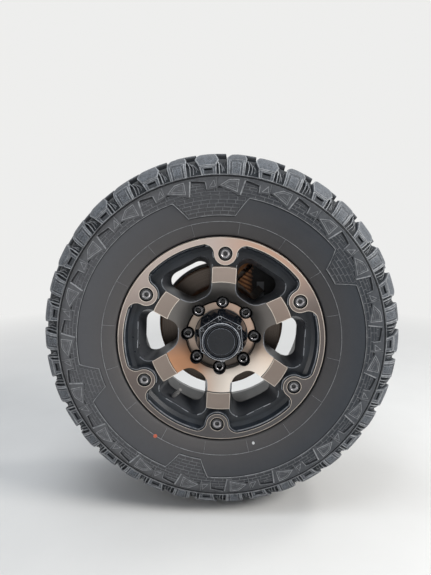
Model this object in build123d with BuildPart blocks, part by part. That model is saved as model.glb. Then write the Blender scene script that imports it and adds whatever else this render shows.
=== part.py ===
"""Wheel end of an off-road 4x4: mud-terrain tyre on a two-tone cast wheel, with its hub, vented brake disc,
floating caliper, splash shield and steering knuckle.

Millimetres, +Z up. The wheel turns about +Y and its outer face looks to -Y. The origin lies on the wheel's
axis, at the inboard mouth of the knuckle's axle bore. Depths are measured inboard from the wheel's outer lip.
"""

import os
from math import atan2, cos, degrees, radians, sin, sqrt, tan

from build123d import *

# Place of the whole wheel end
park_turn = 2.6

# Wheel: rim
rim_width = 254.0
lip_radius = 246.0
lip_edge = 3.0
bead_seat_radius = 228.6
flange_thick = 12.7
flange_taper = 5.0
bead_seat_width = 24.0
drop_radius = 205.0
drop_start = 56.0
drop_end = 98.0
drop_ramp = 16.0
barrel_radius = 221.0
barrel_wall = 8.0
barrel_ramp = 12.0
ring_inner_radius = 231.0
ring_overlap = 5.0

# Wheel: disc and spokes
spoke_count = 6
spoke_half_width = 28.5
spoke_half_width_back = 36.0
facet_inner_radius = 137.0
facet_outer_radius = 174.0
facet_inner_depth = 23.0
facet_outer_depth = 15.0
dish_edge_depth = 30.0
floor_depth = 26.0
floor_radius = 200.0
pocket_edge_setback = 0.6
pocket_edge_drop = 4.5
pocket_ledge = 3.5
pocket_wall_width = 8.0
pocket_wall_rise = 8.0
pocket_foot_width = 16.0
pocket_foot_rise = 1.5
window_inner_radius = 103.0
window_back_outer_radius = 181.0
window_back_inner_radius = 112.0
window_inner_corner = 36.0
window_back_inner_corner = 16.0
window_outer_corner = 25.0
window_back_rise = 30.0
window_front_rise = 2.0
tab_radius = 26.0
tab_fillet = 22.0
bolt_pitch_circle = 412.0
tab_root_depth = 2.0
tab_root_inset = 2.0
disc_back_radius = 185.0
disc_back_depth = 78.0
disc_back_step = 34.0
disc_back_fall = 10.0

# Wheel: centre
nut_count = 8
nut_pitch_circle = 165.1
recess_radius = 84.0
recess_edge_depth = 58.0
recess_floor_depth = 68.0
pad_depth = 126.0
pad_radius = 97.0
pad_shoulder = 10.0
pad_shoulder_height = 20.0
pilot_radius = 62.0
pilot_clearance = 0.3
nut_pocket_radius = 16.5
nut_seat_depth = 106.0
stud_hole_radius = 8.0

# Wheel fittings
bolt_head_radius = 13.5
bolt_pocket_radius = 16.5
bolt_pocket_depth = 9.0
bolt_shank_radius = 6.0
bolt_length = 22.0
bolt_socket_flats = 10.0
bolt_socket_depth = 3.5
bolt_head_set = 1.0
bolt_head_chamfer = 1.5
bolt_hole_end = 1.0
nut_radius = 12.5
nut_end_depth = 62.0
nut_chamfer = 1.2
nut_socket_radius = 8.5
nut_socket_depth = 3.5
stud_radius = 7.0
stud_tip_depth = 84.0
stud_tip_room = 2.0
stud_head_rim = 3.0
stud_head_thick = 5.0
fastener_clearance = 0.3

# Centre cap
cap_base_radius = 66.0
cap_base_thick = 6.0
cap_deck_depth = 20.0
cap_hex_radius = 58.0
cap_body_radius = 47.5
cap_face_depth = -6.0
cap_face_radius = 34.0
cap_dish = 5.0
cap_turn = 6.0
cap_wall = 4.0
cap_skirt_inset = 3.0
cap_edge = 3.0
cap_edge_drop = 4.0
cap_ring_flat = 7.0
cap_face_edge = 2.0
cap_screw_centre_radius = 52.0
cap_screw_radius = 3.4
cap_screw_depth = 4.0

# Valve
valve_clock = 215.0
valve_radius = 5.5
valve_length = 50.0
valve_cap_length = 14.0
valve_cap_step = 1.5
valve_hole_back = 20.0
valve_base_depth = 54.0
valve_base_radius = 207.0
valve_lean = 60.0

# Tyre: casing
tyre_radius = 440.0
crown_half_width = 40.0
mid_tread_half_width = 70.0
mid_tread_drop = 4.0
edge_tread_half_width = 104.0
edge_tread_drop = 15.0
tread_half_width = 127.0
shoulder_drop = 32.0
rib_drop = 63.0
rib_bulge = 13.0
widest_rise = 13.5
sidewall_bulge = 17.4
lower_wall_height = 36.0
lower_wall_bulge = 12.6
lip_guard_height = 2.5
lip_guard_inset = 3.0
lip_gap = 0.5
tyre_wall = 14.0
shoulder_wall = 23.0
shoulder_inside_rise = 8.0
tread_wall = 25.0
tread_edge_wall = 7.0
tread_edge_inset = 16.0
bead_toe = 1.0
bead_inside_height = 8.0
bead_inside_inset = 16.0
bead_clearance = 0.3

# Tyre: lugs
pitch_count = 19
lug_depth = 13.0
shoulder_groove = 12.0
lug_root = 6.0
lug_wall_drop = 44.0
lug_wall_bulge = 7.5
lug_foot_rise = 1.5
lug_foot_bulge = 1.0
plain_lug_clock = 2.2
plain_lug_width = 40.0
plain_lug_end = 60.0
framed_lug_clock = 12.0
framed_foot_width = 38.0
framed_foot_top = 40.5
framed_crest_width = 46.0
framed_crest_lead = 3.0
framed_crest_foot = 37.5
framed_crest_end = 52.0
frame_recess_width = 20.0
frame_recess_height = 13.0
frame_recess_depth = 2.6
inner_side_shift = 4.7
centre_block_clock = 4.7
wall_form_clock = 3.2
wall_form_height = 2.2
wall_form_root = 1.6

# Hub and disc
hat_thick = 8.0
hub_flange_radius = 94.0
hub_flange_thick = 16.0
spindle_radius = 35.0
spindle_reach = 14.0
spline_radius = 17.0
pilot_length = 14.0
pilot_recess = 10.0
pilot_wall = 14.0
pilot_edge = 2.0
bearing_clearance = 0.3
disc_thick = 38.0
cheek_thick = 12.0
hat_height = 34.0
hat_radius = 106.0
hat_wall = 8.0
vane_count = 30
vane_thick = 6.0
vane_inset = 8.0

# Fixed side
running_gap = 6.0
housing_radius = 52.0
housing_flange_radius = 80.0
housing_flange_thick = 12.0
housing_pilot_radius = 58.0
housing_pilot_length = 20.0
knuckle_ring_radius = 82.0
knuckle_thick = 44.0
axle_bore_radius = 50.0
axle_bore_length = 24.0
fit_clearance = 0.05
shield_thick = 2.0
shield_gap = 7.0
shield_overhang = 7.5
shield_lip = 10.0
shield_step = 7.0
shield_step_radius = 14.0
shield_slope = 8.0
shield_gap_angle = 48.0
shield_notch_margin = 4.0

# Knuckle arms and eyes
kingpin_setback = 4.0
upper_eye_height = 158.0
lower_eye_height = -152.0
upper_eye_radius = 34.0
lower_eye_radius = 38.0
eye_length = 30.0
upper_bore_radius = 22.0
lower_bore_radius = 25.0
arm_half_width = 21.0
arm_root_height = 56.0
arm_root_thick = 38.0
arm_taper_length = 60.0
arm_bore_gap = 1.0
tie_rod_x = -150.0
tie_rod_z = -62.0
tie_rod_setback = 30.0
tie_rod_boss_radius = 20.0
tie_rod_bore_radius = 9.0
tie_arm_half_height = 13.0
tie_arm_root_x = -52.0
tie_arm_thick = 26.0
tie_arm_root_set = 2.0
ear_web_inner = 40.0
ear_web_inner_half = 30.0
ear_web_middle = 60.0
ear_web_middle_half = 72.0
ear_web_overlap = 5.0
eye_web_set = 2.0

# Brake caliper, in the plane of its own radius and tangent
caliper_angle = 46.0
caliper_half = 56.0
caliper_barrel_gap = 13.0
caliper_corner = 12.0
caliper_window_half = 20.0
caliper_window_wall = 5.0
caliper_finger_thick = 23.0
caliper_notch_width = 24.0
caliper_notch_height = 30.0
bridge_gap = 10.0
bridge_thick = 22.0
pad_height = 36.0
pad_margin = 2.5
pad_foot = 4.0
pad_half_angle = 21.0
pad_back_thick = 5.0
lining_thick = 9.0
pad_gap = 0.5
piston_radius = 24.0
piston_offset = 27.0
piston_seat_gap = 0.5
piston_back_gap = 2.0
cylinder_wall = 6.0
cylinder_cap = 8.0
housing_deep = 26.0
bracket_gap = 8.0
bracket_leg_gap = 10.0
bracket_leg_width = 22.0
bracket_leg_height = 44.0
bracket_tie_drop = 28.0
bracket_tie_width = 14.0
bracket_thick = 11.0
bracket_disc_gap = 5.0
bracket_top_drop = 8.0
ear_drop = 34.0
ear_radius = 15.0
ear_thick = 14.0
guide_drop = 24.0
guide_radius = 6.0
guide_ear_radius = 13.0
guide_ear_set = 5.0
guide_ear_thick = 10.0
guide_ear_root = 6.0
guide_pin_reach = 26.0
guide_hole_depth = 30.0
guide_head_rim = 2.0
guide_head_thick = 6.0

# Depths behind the wheel's outer lip, from the wheel's mounting face inboard
disc_outer_depth = pad_depth + hat_height
disc_inner_depth = disc_outer_depth + disc_thick
shield_ring_depth = disc_inner_depth + shield_gap
knuckle_face_depth = shield_ring_depth + shield_thick + shield_step
knuckle_back_depth = knuckle_face_depth + knuckle_thick


def y_at(depth):
    """Row Y of a depth behind the wheel's outer lip."""
    return depth - knuckle_back_depth


def face(depth, turn=0.0):
    """A plane across the axis, seen from outside: local X right, Y up, turned clockwise by turn degrees."""
    side = (cos(radians(turn)), 0, -sin(radians(turn)))
    return Plane(origin=(0, y_at(depth), 0), x_dir=side, z_dir=(0, -1, 0))


def brake(depth):
    """A plane across the axis at the caliper: local X along its radius, Y along its tangent, facing outside."""
    out = (cos(radians(caliper_angle)), 0, sin(radians(caliper_angle)))
    return Plane(origin=(0, y_at(depth), 0), x_dir=out, z_dir=(0, -1, 0))


def axial(depth, clock):
    """A plane that holds the axis: local X inboard along it, Y out at a clockwise angle from the top."""
    out = Vector(sin(radians(clock)), 0, cos(radians(clock)))
    return Plane(origin=(0, y_at(depth), 0), x_dir=(0, 1, 0), z_dir=Vector(0, 1, 0).cross(out))


def finish(built, name, color):
    """Names a finished piece and writes it."""
    built.part.label = name
    built.part.color = color
    export_step(built.part, f"parts/{name}.step")


def section(points):
    """Turns (radius, depth) pairs into sketch points on Plane.XY, ready to revolve about Y."""
    return [(radius, y_at(depth)) for radius, depth in points]


os.makedirs("parts", exist_ok=True)
rim_metal = Color(0.52, 0.45, 0.40)
black = Color(0.05, 0.05, 0.06)
rubber = Color(0.09, 0.09, 0.10)
steel = Color(0.35, 0.33, 0.31)
rust = Color(0.33, 0.24, 0.19)

hat_depth = pad_depth + hat_thick
hub_back_depth = hat_depth + hub_flange_thick
nut_radius_circle = nut_pitch_circle / 2
tab_circle_radius = bolt_pitch_circle / 2
mid_depth = rim_width / 2
window_step = 360 / spoke_count
ring_overlap_radius = ring_inner_radius + ring_overlap
blend_height = sqrt((ring_inner_radius - tab_fillet) ** 2 - (tab_radius + tab_fillet) ** 2)

# The caliper's corners clear the wheel's barrel, and the disc reaches up to the caliper's bridge
barrel_inner = barrel_radius - barrel_wall
caliper_outer = sqrt((barrel_inner - caliper_barrel_gap) ** 2 - caliper_half**2)
pad_outer_radius = caliper_outer - bridge_thick - bridge_gap
disc_radius = pad_outer_radius + pad_margin
pad_inner_radius = pad_outer_radius - pad_height

# Cast wheel: barrel and disc in one section
drop_inner = drop_radius - barrel_wall
inner_flange_depth = rim_width - flange_thick
inner_seat_depth = inner_flange_depth - bead_seat_width
flange_edge = flange_taper - 1
barrel_section = [
    (ring_inner_radius, 0),
    (lip_radius - lip_edge, 0),
    (lip_radius, lip_edge),
    (lip_radius, flange_thick - flange_edge),
    (lip_radius - flange_taper, flange_thick),
    (bead_seat_radius, flange_thick),
    (bead_seat_radius, flange_thick + bead_seat_width),
    (drop_radius, drop_start),
    (drop_radius, drop_end),
    (barrel_radius, drop_end + drop_ramp),
    (barrel_radius, inner_seat_depth - barrel_ramp),
    (bead_seat_radius, inner_seat_depth),
    (bead_seat_radius, inner_flange_depth),
    (lip_radius - flange_taper, inner_flange_depth),
    (lip_radius, inner_flange_depth + flange_edge),
    (lip_radius, rim_width - lip_edge),
    (lip_radius - lip_edge, rim_width),
    (bead_seat_radius + flange_taper, rim_width),
    (bead_seat_radius - barrel_wall, inner_flange_depth - lip_edge),
    (barrel_inner, inner_seat_depth - barrel_ramp),
    (barrel_inner, drop_end + drop_ramp + lip_edge),
    (drop_inner, drop_end + lip_edge),
    (drop_inner, disc_back_depth),
    (disc_back_radius, disc_back_depth),
    (disc_back_radius - disc_back_step, disc_back_depth + disc_back_fall),
    (pad_radius + pad_shoulder, pad_depth - pad_shoulder_height),
    (pad_radius, pad_depth),
    (pilot_radius + pilot_clearance, pad_depth),
    (pilot_radius + pilot_clearance, recess_floor_depth),
    (recess_radius, recess_floor_depth),
    (recess_radius, recess_edge_depth),
    (facet_inner_radius, dish_edge_depth),
    (facet_inner_radius, facet_inner_depth),
    (facet_outer_radius, facet_outer_depth),
    (facet_outer_radius, floor_depth),
    (floor_radius, floor_depth),
    (ring_inner_radius - pocket_foot_width, floor_depth - pocket_foot_rise),
    (ring_inner_radius - pocket_wall_width, floor_depth - pocket_wall_rise),
    (ring_inner_radius - pocket_ledge, pocket_edge_drop),
    (ring_inner_radius - pocket_edge_setback, pocket_edge_drop),
]


def window_points(half_width, inner, outer):
    """Corners of one window between two spokes, its centre line along local Y."""
    slope = tan(radians(window_step / 2))
    offset = half_width / cos(radians(window_step / 2))
    inner_half = inner * slope - offset
    outer_half = outer * slope - offset
    return [(-inner_half, inner), (inner_half, inner), (outer_half, outer), (-outer_half, outer)]


valve_foot = axial(valve_base_depth, valve_clock + park_turn)
valve_out = valve_foot.y_dir
valve_plane = Plane(
    origin=valve_foot.origin + valve_out * valve_base_radius,
    z_dir=valve_out * -sin(radians(valve_lean)) + Vector(0, -cos(radians(valve_lean)), 0),
)
# circle that cuts the tab off, depth of its front, how deep it goes, how much wider it is than the tab's face
tab_root_radius = bead_seat_radius - tab_root_inset
tab_reaches = [
    (ring_overlap_radius, 0, flange_thick, 0),
    (tab_root_radius, 0, floor_depth + tab_root_depth, 0),
    (tab_root_radius, pocket_edge_drop, floor_depth + tab_root_depth, pocket_ledge),
]
tab_neck = tab_radius + tab_fillet
# half width of the spokes beside it, inner and outer end, inner and outer corner
front_window = (spoke_half_width, window_inner_radius, floor_radius)
back_window = (spoke_half_width_back, window_back_inner_radius, window_back_outer_radius)

with BuildPart() as wheel_rim:
    with BuildSketch(Plane.XY):
        with BuildLine():
            Polyline(section(barrel_section), close=True)
        make_face()
    revolve(axis=Axis.Y)
    for reach, front_depth, depth, growth in tab_reaches:
        with BuildSketch(face(front_depth, park_turn)):
            with PolarLocations(0, spoke_count):
                with Locations((0, tab_circle_radius)):
                    Circle(tab_radius + growth)
                with Locations((0, (blend_height + ring_overlap_radius) / 2)):
                    Rectangle(2 * tab_neck, ring_overlap_radius - blend_height)
                with Locations((tab_neck, blend_height), (-tab_neck, blend_height)):
                    Circle(tab_fillet - growth, mode=Mode.SUBTRACT)
            with BuildSketch(mode=Mode.INTERSECT):
                Circle(reach)
        extrude(amount=front_depth - depth)
    for k in range(spoke_count):
        turn = park_turn + window_step * (k + 0.5)
        with BuildSketch(face(floor_depth - window_front_rise, turn)) as front:
            Polygon(*window_points(*front_window), align=None)
            inner_corners = front.vertices().group_by(Axis.Y)[0]
            fillet(inner_corners, window_inner_corner)
            outer_corners = front.vertices().group_by(Axis.Y)[-1]
            fillet(outer_corners, window_outer_corner)
        with BuildSketch(face(disc_back_depth + window_back_rise, turn)) as back:
            Polygon(*window_points(*back_window), align=None)
            inner_corners = back.vertices().group_by(Axis.Y)[0]
            fillet(inner_corners, window_back_inner_corner)
            outer_corners = back.vertices().group_by(Axis.Y)[-1]
            fillet(outer_corners, window_outer_corner)
        loft(mode=Mode.SUBTRACT, ruled=True)
        with BuildSketch(face(floor_depth - window_front_rise, turn)):
            add(front.sketch_local)
        extrude(amount=floor_depth, mode=Mode.SUBTRACT)
    with BuildSketch(face(nut_seat_depth, park_turn)):
        with PolarLocations(nut_radius_circle, nut_count, start_angle=90):
            Circle(nut_pocket_radius)
    extrude(amount=nut_seat_depth, mode=Mode.SUBTRACT)
    with BuildSketch(face(pad_depth, park_turn)):
        with PolarLocations(nut_radius_circle, nut_count, start_angle=90):
            Circle(stud_hole_radius)
    extrude(amount=pad_depth, mode=Mode.SUBTRACT)
    with BuildSketch(face(bolt_pocket_depth, park_turn)):
        with PolarLocations(tab_circle_radius, spoke_count, start_angle=90):
            Circle(bolt_pocket_radius)
    extrude(amount=bolt_pocket_depth, mode=Mode.SUBTRACT)
    with BuildSketch(face(bolt_pocket_depth, park_turn)):
        with PolarLocations(tab_circle_radius, spoke_count, start_angle=90):
            Circle(bolt_shank_radius + fastener_clearance)
    extrude(amount=-bolt_length - bolt_hole_end, mode=Mode.SUBTRACT)
    with BuildSketch(valve_plane):
        Circle(valve_radius + fastener_clearance)
    extrude(amount=valve_length, mode=Mode.SUBTRACT)
    with BuildSketch(valve_plane):
        Circle(valve_radius + fastener_clearance)
    extrude(amount=-valve_hole_back, mode=Mode.SUBTRACT)
finish(wheel_rim, "wheel_rim", rim_metal)

# Accent bolts in the ring's tabs
with BuildPart() as rim_bolts:
    with BuildSketch(face(bolt_pocket_depth, park_turn)):
        with PolarLocations(tab_circle_radius, spoke_count, start_angle=90):
            Circle(bolt_head_radius)
    extrude(amount=bolt_pocket_depth - bolt_head_set)
    chamfer(rim_bolts.faces().group_by(Axis.Y)[0].edges(), bolt_head_chamfer)
    with BuildSketch(face(bolt_head_set, park_turn)):
        with PolarLocations(tab_circle_radius, spoke_count, start_angle=90):
            RegularPolygon(bolt_socket_flats / 2, 6, major_radius=False)
    extrude(amount=-bolt_socket_depth, mode=Mode.SUBTRACT)
    with BuildSketch(face(bolt_pocket_depth, park_turn)):
        with PolarLocations(tab_circle_radius, spoke_count, start_angle=90):
            Circle(bolt_shank_radius)
    extrude(amount=-bolt_length)
finish(rim_bolts, "rim_bolts", black)

# Lug nuts, deep in their pockets, each with a recessed end
with BuildPart() as lug_nuts:
    with BuildSketch(face(nut_seat_depth, park_turn)):
        with PolarLocations(nut_radius_circle, nut_count, start_angle=90):
            Circle(nut_radius)
    extrude(amount=nut_seat_depth - nut_end_depth)
    chamfer(lug_nuts.faces().group_by(Axis.Y)[0].edges(), nut_chamfer)
    with BuildSketch(face(nut_end_depth, park_turn)):
        with PolarLocations(nut_radius_circle, nut_count, start_angle=90):
            Circle(nut_socket_radius)
    extrude(amount=-nut_socket_depth, mode=Mode.SUBTRACT)
    with BuildSketch(face(nut_seat_depth, park_turn)):
        with PolarLocations(nut_radius_circle, nut_count, start_angle=90):
            Circle(stud_radius + fastener_clearance)
    extrude(amount=nut_seat_depth - stud_tip_depth + stud_tip_room, mode=Mode.SUBTRACT)
finish(lug_nuts, "lug_nuts", black)

# Centre cap: six-sided skirt, round body with a dished ring and a plain face
cap_skirt_depth = recess_floor_depth - cap_base_thick
cap_dish_depth = cap_face_depth + cap_dish
skirt_height = cap_skirt_depth - cap_deck_depth
deck_flat = cap_hex_radius * cos(radians(30))
skirt_flat = cap_base_radius - cap_skirt_inset
with BuildPart() as centre_cap:
    with BuildSketch(face(cap_skirt_depth, park_turn - cap_turn)):
        RegularPolygon(skirt_flat, 6, major_radius=False, rotation=30)
    extrude(amount=skirt_height, taper=degrees(atan2(skirt_flat - deck_flat, skirt_height)))
    skirt_cone = [
        (0, cap_skirt_depth),
        (cap_base_radius - 1, cap_skirt_depth),
        (cap_hex_radius - 1, cap_deck_depth),
        (0, cap_deck_depth),
    ]
    with BuildSketch(Plane.XY):
        with BuildLine():
            Polyline(section(skirt_cone), close=True)
        make_face()
    revolve(axis=Axis.Y, mode=Mode.INTERSECT)
    with BuildSketch(face(recess_floor_depth)):
        Circle(cap_base_radius)
    extrude(amount=cap_base_thick)
    cap_section = [
        (0, cap_skirt_depth),
        (cap_body_radius, cap_skirt_depth),
        (cap_body_radius, cap_face_depth + cap_edge_drop),
        (cap_body_radius - cap_edge, cap_face_depth),
        (cap_body_radius - cap_ring_flat, cap_face_depth),
        (cap_face_radius + cap_edge, cap_dish_depth),
        (cap_face_radius, cap_dish_depth),
        (cap_face_radius - cap_face_edge, cap_face_depth + cap_face_edge),
        (0, cap_face_depth),
    ]
    with BuildSketch(Plane.XY):
        with BuildLine():
            Polyline(section(cap_section), close=True)
        make_face()
    revolve(axis=Axis.Y)
    with BuildSketch(face(recess_floor_depth)):
        Circle(cap_body_radius - cap_wall)
    extrude(amount=recess_floor_depth - cap_dish_depth - cap_wall, mode=Mode.SUBTRACT)
    with BuildSketch(face(cap_deck_depth, park_turn - cap_turn)):
        with PolarLocations(cap_screw_centre_radius, 6, start_angle=90):
            Circle(cap_screw_radius)
    extrude(amount=-cap_screw_depth, mode=Mode.SUBTRACT)
finish(centre_cap, "centre_cap", black)

# Valve stem with its cap
with BuildPart() as valve_stem:
    with BuildSketch(valve_plane):
        Circle(valve_radius)
    extrude(amount=valve_length - valve_cap_length)
    with BuildSketch(valve_plane.offset(valve_length - valve_cap_length)):
        Circle(valve_radius - valve_cap_step)
    extrude(amount=valve_cap_length)
finish(valve_stem, "valve_stem", steel)

# Tyre: half section of its casing and of its hollow, from the tread's middle to the bead
bead_half = rim_width / 2 - flange_thick - bead_clearance
bead_radius = bead_seat_radius + bead_clearance
rib_radius = tyre_radius - rib_drop
widest_radius = (lip_radius + rib_radius) / 2 + widest_rise
widest_half_width = rim_width / 2 + sidewall_bulge
rib_half_width = rim_width / 2 + rib_bulge
casing_outer = [
    (tyre_radius - lug_depth, crown_half_width),
    (tyre_radius - edge_tread_drop - lug_depth, edge_tread_half_width),
    (tyre_radius - shoulder_drop - shoulder_groove, tread_half_width),
    (rib_radius, rib_half_width),
    (widest_radius, widest_half_width),
    (lip_radius + lower_wall_height, rim_width / 2 + lower_wall_bulge),
    (lip_radius + lip_guard_height, rim_width / 2 - lip_guard_inset),
    (lip_radius + lip_gap, bead_half),
    (bead_radius, bead_half),
]
casing_inner = [
    (bead_radius, bead_half - bead_seat_width + bead_toe),
    (lip_radius + bead_inside_height, bead_half - bead_inside_inset),
    (widest_radius, widest_half_width - tyre_wall),
    (rib_radius + shoulder_inside_rise, rib_half_width - shoulder_wall),
    (tyre_radius - tread_wall - tread_edge_wall, edge_tread_half_width - tread_edge_inset),
    (tyre_radius - tread_wall, crown_half_width),
]
half_section = casing_outer + casing_inner
whole_section = [(r, mid_depth - h) for r, h in half_section]
whole_section += [(r, mid_depth + h) for r, h in reversed(half_section)]

# Outer line of the lugs, and where their roots end inside the casing
mid_tread = (tyre_radius - mid_tread_drop, mid_tread_half_width)
edge_tread = (tyre_radius - edge_tread_drop, edge_tread_half_width)
shoulder = (tyre_radius - shoulder_drop, tread_half_width)
lug_wall = (tyre_radius - lug_wall_drop, rim_width / 2 + lug_wall_bulge)
lug_foot = (rib_radius + lug_foot_rise, rib_half_width + lug_foot_bulge)
foot_root = (rib_radius + lug_foot_rise, rib_half_width - lug_root)
shoulder_root = (tyre_radius - shoulder_drop - shoulder_groove - lug_root, tread_half_width - lug_root)
edge_root = (tyre_radius - edge_tread_drop - lug_depth - lug_root, edge_tread_half_width)


def lug_end(half_width):
    """Inner end of a lug, on the tread's line between its crown and its middle."""
    share = (half_width - crown_half_width) / (mid_tread_half_width - crown_half_width)
    top = tyre_radius - share * mid_tread_drop
    return [(top - lug_depth - lug_root, half_width), (top, half_width)]


def between(first, second, drop):
    """The point between two of the lugs' line that lies a drop below the tyre's radius."""
    share = (tyre_radius - drop - first[0]) / (second[0] - first[0])
    return (tyre_radius - drop, first[1] + share * (second[1] - first[1]))


plain_lug = [*lug_end(plain_lug_end), mid_tread, edge_tread, shoulder, lug_wall, lug_foot]
plain_lug += [foot_root, shoulder_root, edge_root]
crest_foot = between(shoulder, lug_wall, framed_crest_foot)
crest_lug = [*lug_end(framed_crest_end), mid_tread, edge_tread, shoulder, crest_foot]
crest_lug += [shoulder_root, edge_root]
foot_lug = [between(shoulder, lug_wall, framed_foot_top), lug_wall, lug_foot, foot_root, shoulder_root]
crest_lead = degrees(framed_crest_lead / tyre_radius)
# half section, clock on the outer side, width round the tyre
lugs = [
    (plain_lug, plain_lug_clock, plain_lug_width),
    (foot_lug, framed_lug_clock, framed_foot_width),
    (crest_lug, framed_lug_clock - crest_lead, framed_crest_width),
]
# inboard from the tread's middle, anticlockwise; its twin is turned by half a turn
centre_block = [(46, 30), (50, -18), (12, -32), (5, -8), (19, 26)]
centre_reach = max(abs(turn) for along, turn in centre_block)
centre_top = sqrt(tyre_radius**2 - centre_reach**2)
centre_root = tyre_radius - lug_depth - lug_root
# clockwise, down from the rib
wall_wedge = [(-41, 22), (0, 38), (5, 3), (-22, 3)]
wall_block = [(34, 21), (65, 21), (60, 3), (40, 3)]
tyre_sides = (-1, 1)


def clocks(first, side):
    """Clocks of one form on every pitch of a side, where the inner side is the outer one mirrored and shifted."""
    start = park_turn + first if side < 0 else -park_turn - first - inner_side_shift
    return [start + 360 / pitch_count * k for k in range(pitch_count)]


def slope(clock, side, low, high):
    """A plane on the tyre's side through two (radius, half width) points: local Y from low to high, facing out."""
    out = Vector(sin(radians(clock)), 0, cos(radians(clock)))
    rise = high[0] - low[0]
    spread = high[1] - low[1]
    up = out * rise + Vector(0, side * spread, 0)
    normal = Vector(0, side * rise, 0) - out * spread
    start = out * low[0] + Vector(0, y_at(mid_depth + side * low[1]), 0)
    return Plane(origin=start, x_dir=up.cross(normal), z_dir=normal)


widest_line = (widest_radius, widest_half_width)
rib_line = (rib_radius, rib_half_width)
wall_height = sqrt((rib_radius - widest_radius) ** 2 + (rib_half_width - widest_half_width) ** 2)
recess_height = sqrt((lug_wall[0] - lug_foot[0]) ** 2 + (lug_wall[1] - lug_foot[1]) ** 2) / 2
with BuildPart() as tyre:
    with BuildSketch(Plane.XY):
        with BuildLine():
            Polyline(section(whole_section), close=True)
        make_face()
    revolve(axis=Axis.Y)
    for half_profile, first, width in lugs:
        for side in tyre_sides:
            with BuildSketch(*[axial(mid_depth, clock) for clock in clocks(first, side)]):
                Polygon(*[(side * h, r) for r, h in half_profile], align=None)
            extrude(amount=width / 2, both=True)
    block_planes = []
    for k in range(2 * pitch_count):
        spoke = axial(mid_depth, park_turn + centre_block_clock + 180 / pitch_count * k)
        root = spoke.origin + spoke.y_dir * centre_root
        block_planes.append(Plane(origin=root, x_dir=(0, 1, 0), z_dir=spoke.y_dir))
    with BuildSketch(*block_planes):
        for way in (1, -1):
            Polygon(*[(way * along, way * turn) for along, turn in centre_block], align=None)
    extrude(amount=centre_top - centre_root)
    for side in tyre_sides:
        walls = [slope(clock, side, widest_line, rib_line) for clock in clocks(wall_form_clock, side)]
        with BuildSketch(*[wall.offset(-wall_form_root) for wall in walls]):
            for form in (wall_wedge, wall_block):
                Polygon(*[(round_way, wall_height - down) for round_way, down in form], align=None)
        extrude(amount=wall_form_root + wall_form_height)
        feet = [slope(clock, side, lug_foot, lug_wall) for clock in clocks(framed_lug_clock, side)]
        with BuildSketch(*feet):
            with Locations((0, recess_height)):
                Rectangle(frame_recess_width, frame_recess_height)
        extrude(amount=-frame_recess_depth, mode=Mode.SUBTRACT)
finish(tyre, "tyre", rubber)

# Hub: pilot, flange and spindle
spindle_end_depth = knuckle_face_depth + spindle_reach
pilot_start = pad_depth - pilot_length
pilot_floor = pilot_start + pilot_recess
hub_section = [
    (spline_radius, pilot_floor),
    (pilot_radius - pilot_wall, pilot_floor),
    (pilot_radius - pilot_wall + pilot_edge, pilot_start),
    (pilot_radius - pilot_edge, pilot_start),
    (pilot_radius, pilot_start + pilot_edge),
    (pilot_radius, hat_depth),
    (hub_flange_radius, hat_depth),
    (hub_flange_radius, hub_back_depth),
    (spindle_radius, hub_back_depth),
    (spindle_radius, spindle_end_depth),
    (spline_radius, spindle_end_depth),
]
with BuildPart() as hub:
    with BuildSketch(Plane.XY):
        with BuildLine():
            Polyline(section(hub_section), close=True)
        make_face()
    revolve(axis=Axis.Y)
    with BuildSketch(face(hub_back_depth, park_turn)):
        with PolarLocations(nut_radius_circle, nut_count, start_angle=90):
            Circle(stud_radius + fit_clearance)
    extrude(amount=hub_flange_thick, mode=Mode.SUBTRACT)
finish(hub, "hub", rust)

# Wheel studs, pressed in from behind the flange
with BuildPart() as wheel_studs:
    with BuildSketch(face(hub_back_depth, park_turn)):
        with PolarLocations(nut_radius_circle, nut_count, start_angle=90):
            Circle(stud_radius)
    extrude(amount=hub_back_depth - stud_tip_depth)
    with BuildSketch(face(hub_back_depth, park_turn)):
        with PolarLocations(nut_radius_circle, nut_count, start_angle=90):
            Circle(stud_radius + stud_head_rim)
    extrude(amount=-stud_head_thick)
finish(wheel_studs, "wheel_studs", steel)

# Vented brake disc with its hat
disc_section = [
    (pilot_radius + pilot_clearance, pad_depth),
    (hat_radius, pad_depth),
    (hat_radius, disc_outer_depth),
    (disc_radius, disc_outer_depth),
    (disc_radius, disc_outer_depth + cheek_thick),
    (hat_radius - hat_wall, disc_outer_depth + cheek_thick),
    (hat_radius - hat_wall, hat_depth),
    (pilot_radius + pilot_clearance, hat_depth),
]
inner_cheek = [
    (hat_radius, disc_inner_depth - cheek_thick),
    (disc_radius, disc_inner_depth - cheek_thick),
    (disc_radius, disc_inner_depth),
    (hat_radius, disc_inner_depth),
]
with BuildPart() as brake_disc:
    with BuildSketch(Plane.XY):
        with BuildLine():
            Polyline(section(disc_section), close=True)
        make_face()
        with BuildLine():
            Polyline(section(inner_cheek), close=True)
        make_face()
    revolve(axis=Axis.Y)
    with BuildSketch(face(disc_inner_depth - cheek_thick)):
        with PolarLocations((hat_radius + disc_radius) / 2, vane_count):
            Rectangle(disc_radius - hat_radius - vane_inset, vane_thick)
    extrude(amount=disc_thick - 2 * cheek_thick)
    with BuildSketch(face(hat_depth, park_turn)):
        with PolarLocations(nut_radius_circle, nut_count, start_angle=90):
            Circle(stud_radius + fastener_clearance)
    extrude(amount=hat_thick, mode=Mode.SUBTRACT)
finish(brake_disc, "brake_disc", rust)

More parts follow.
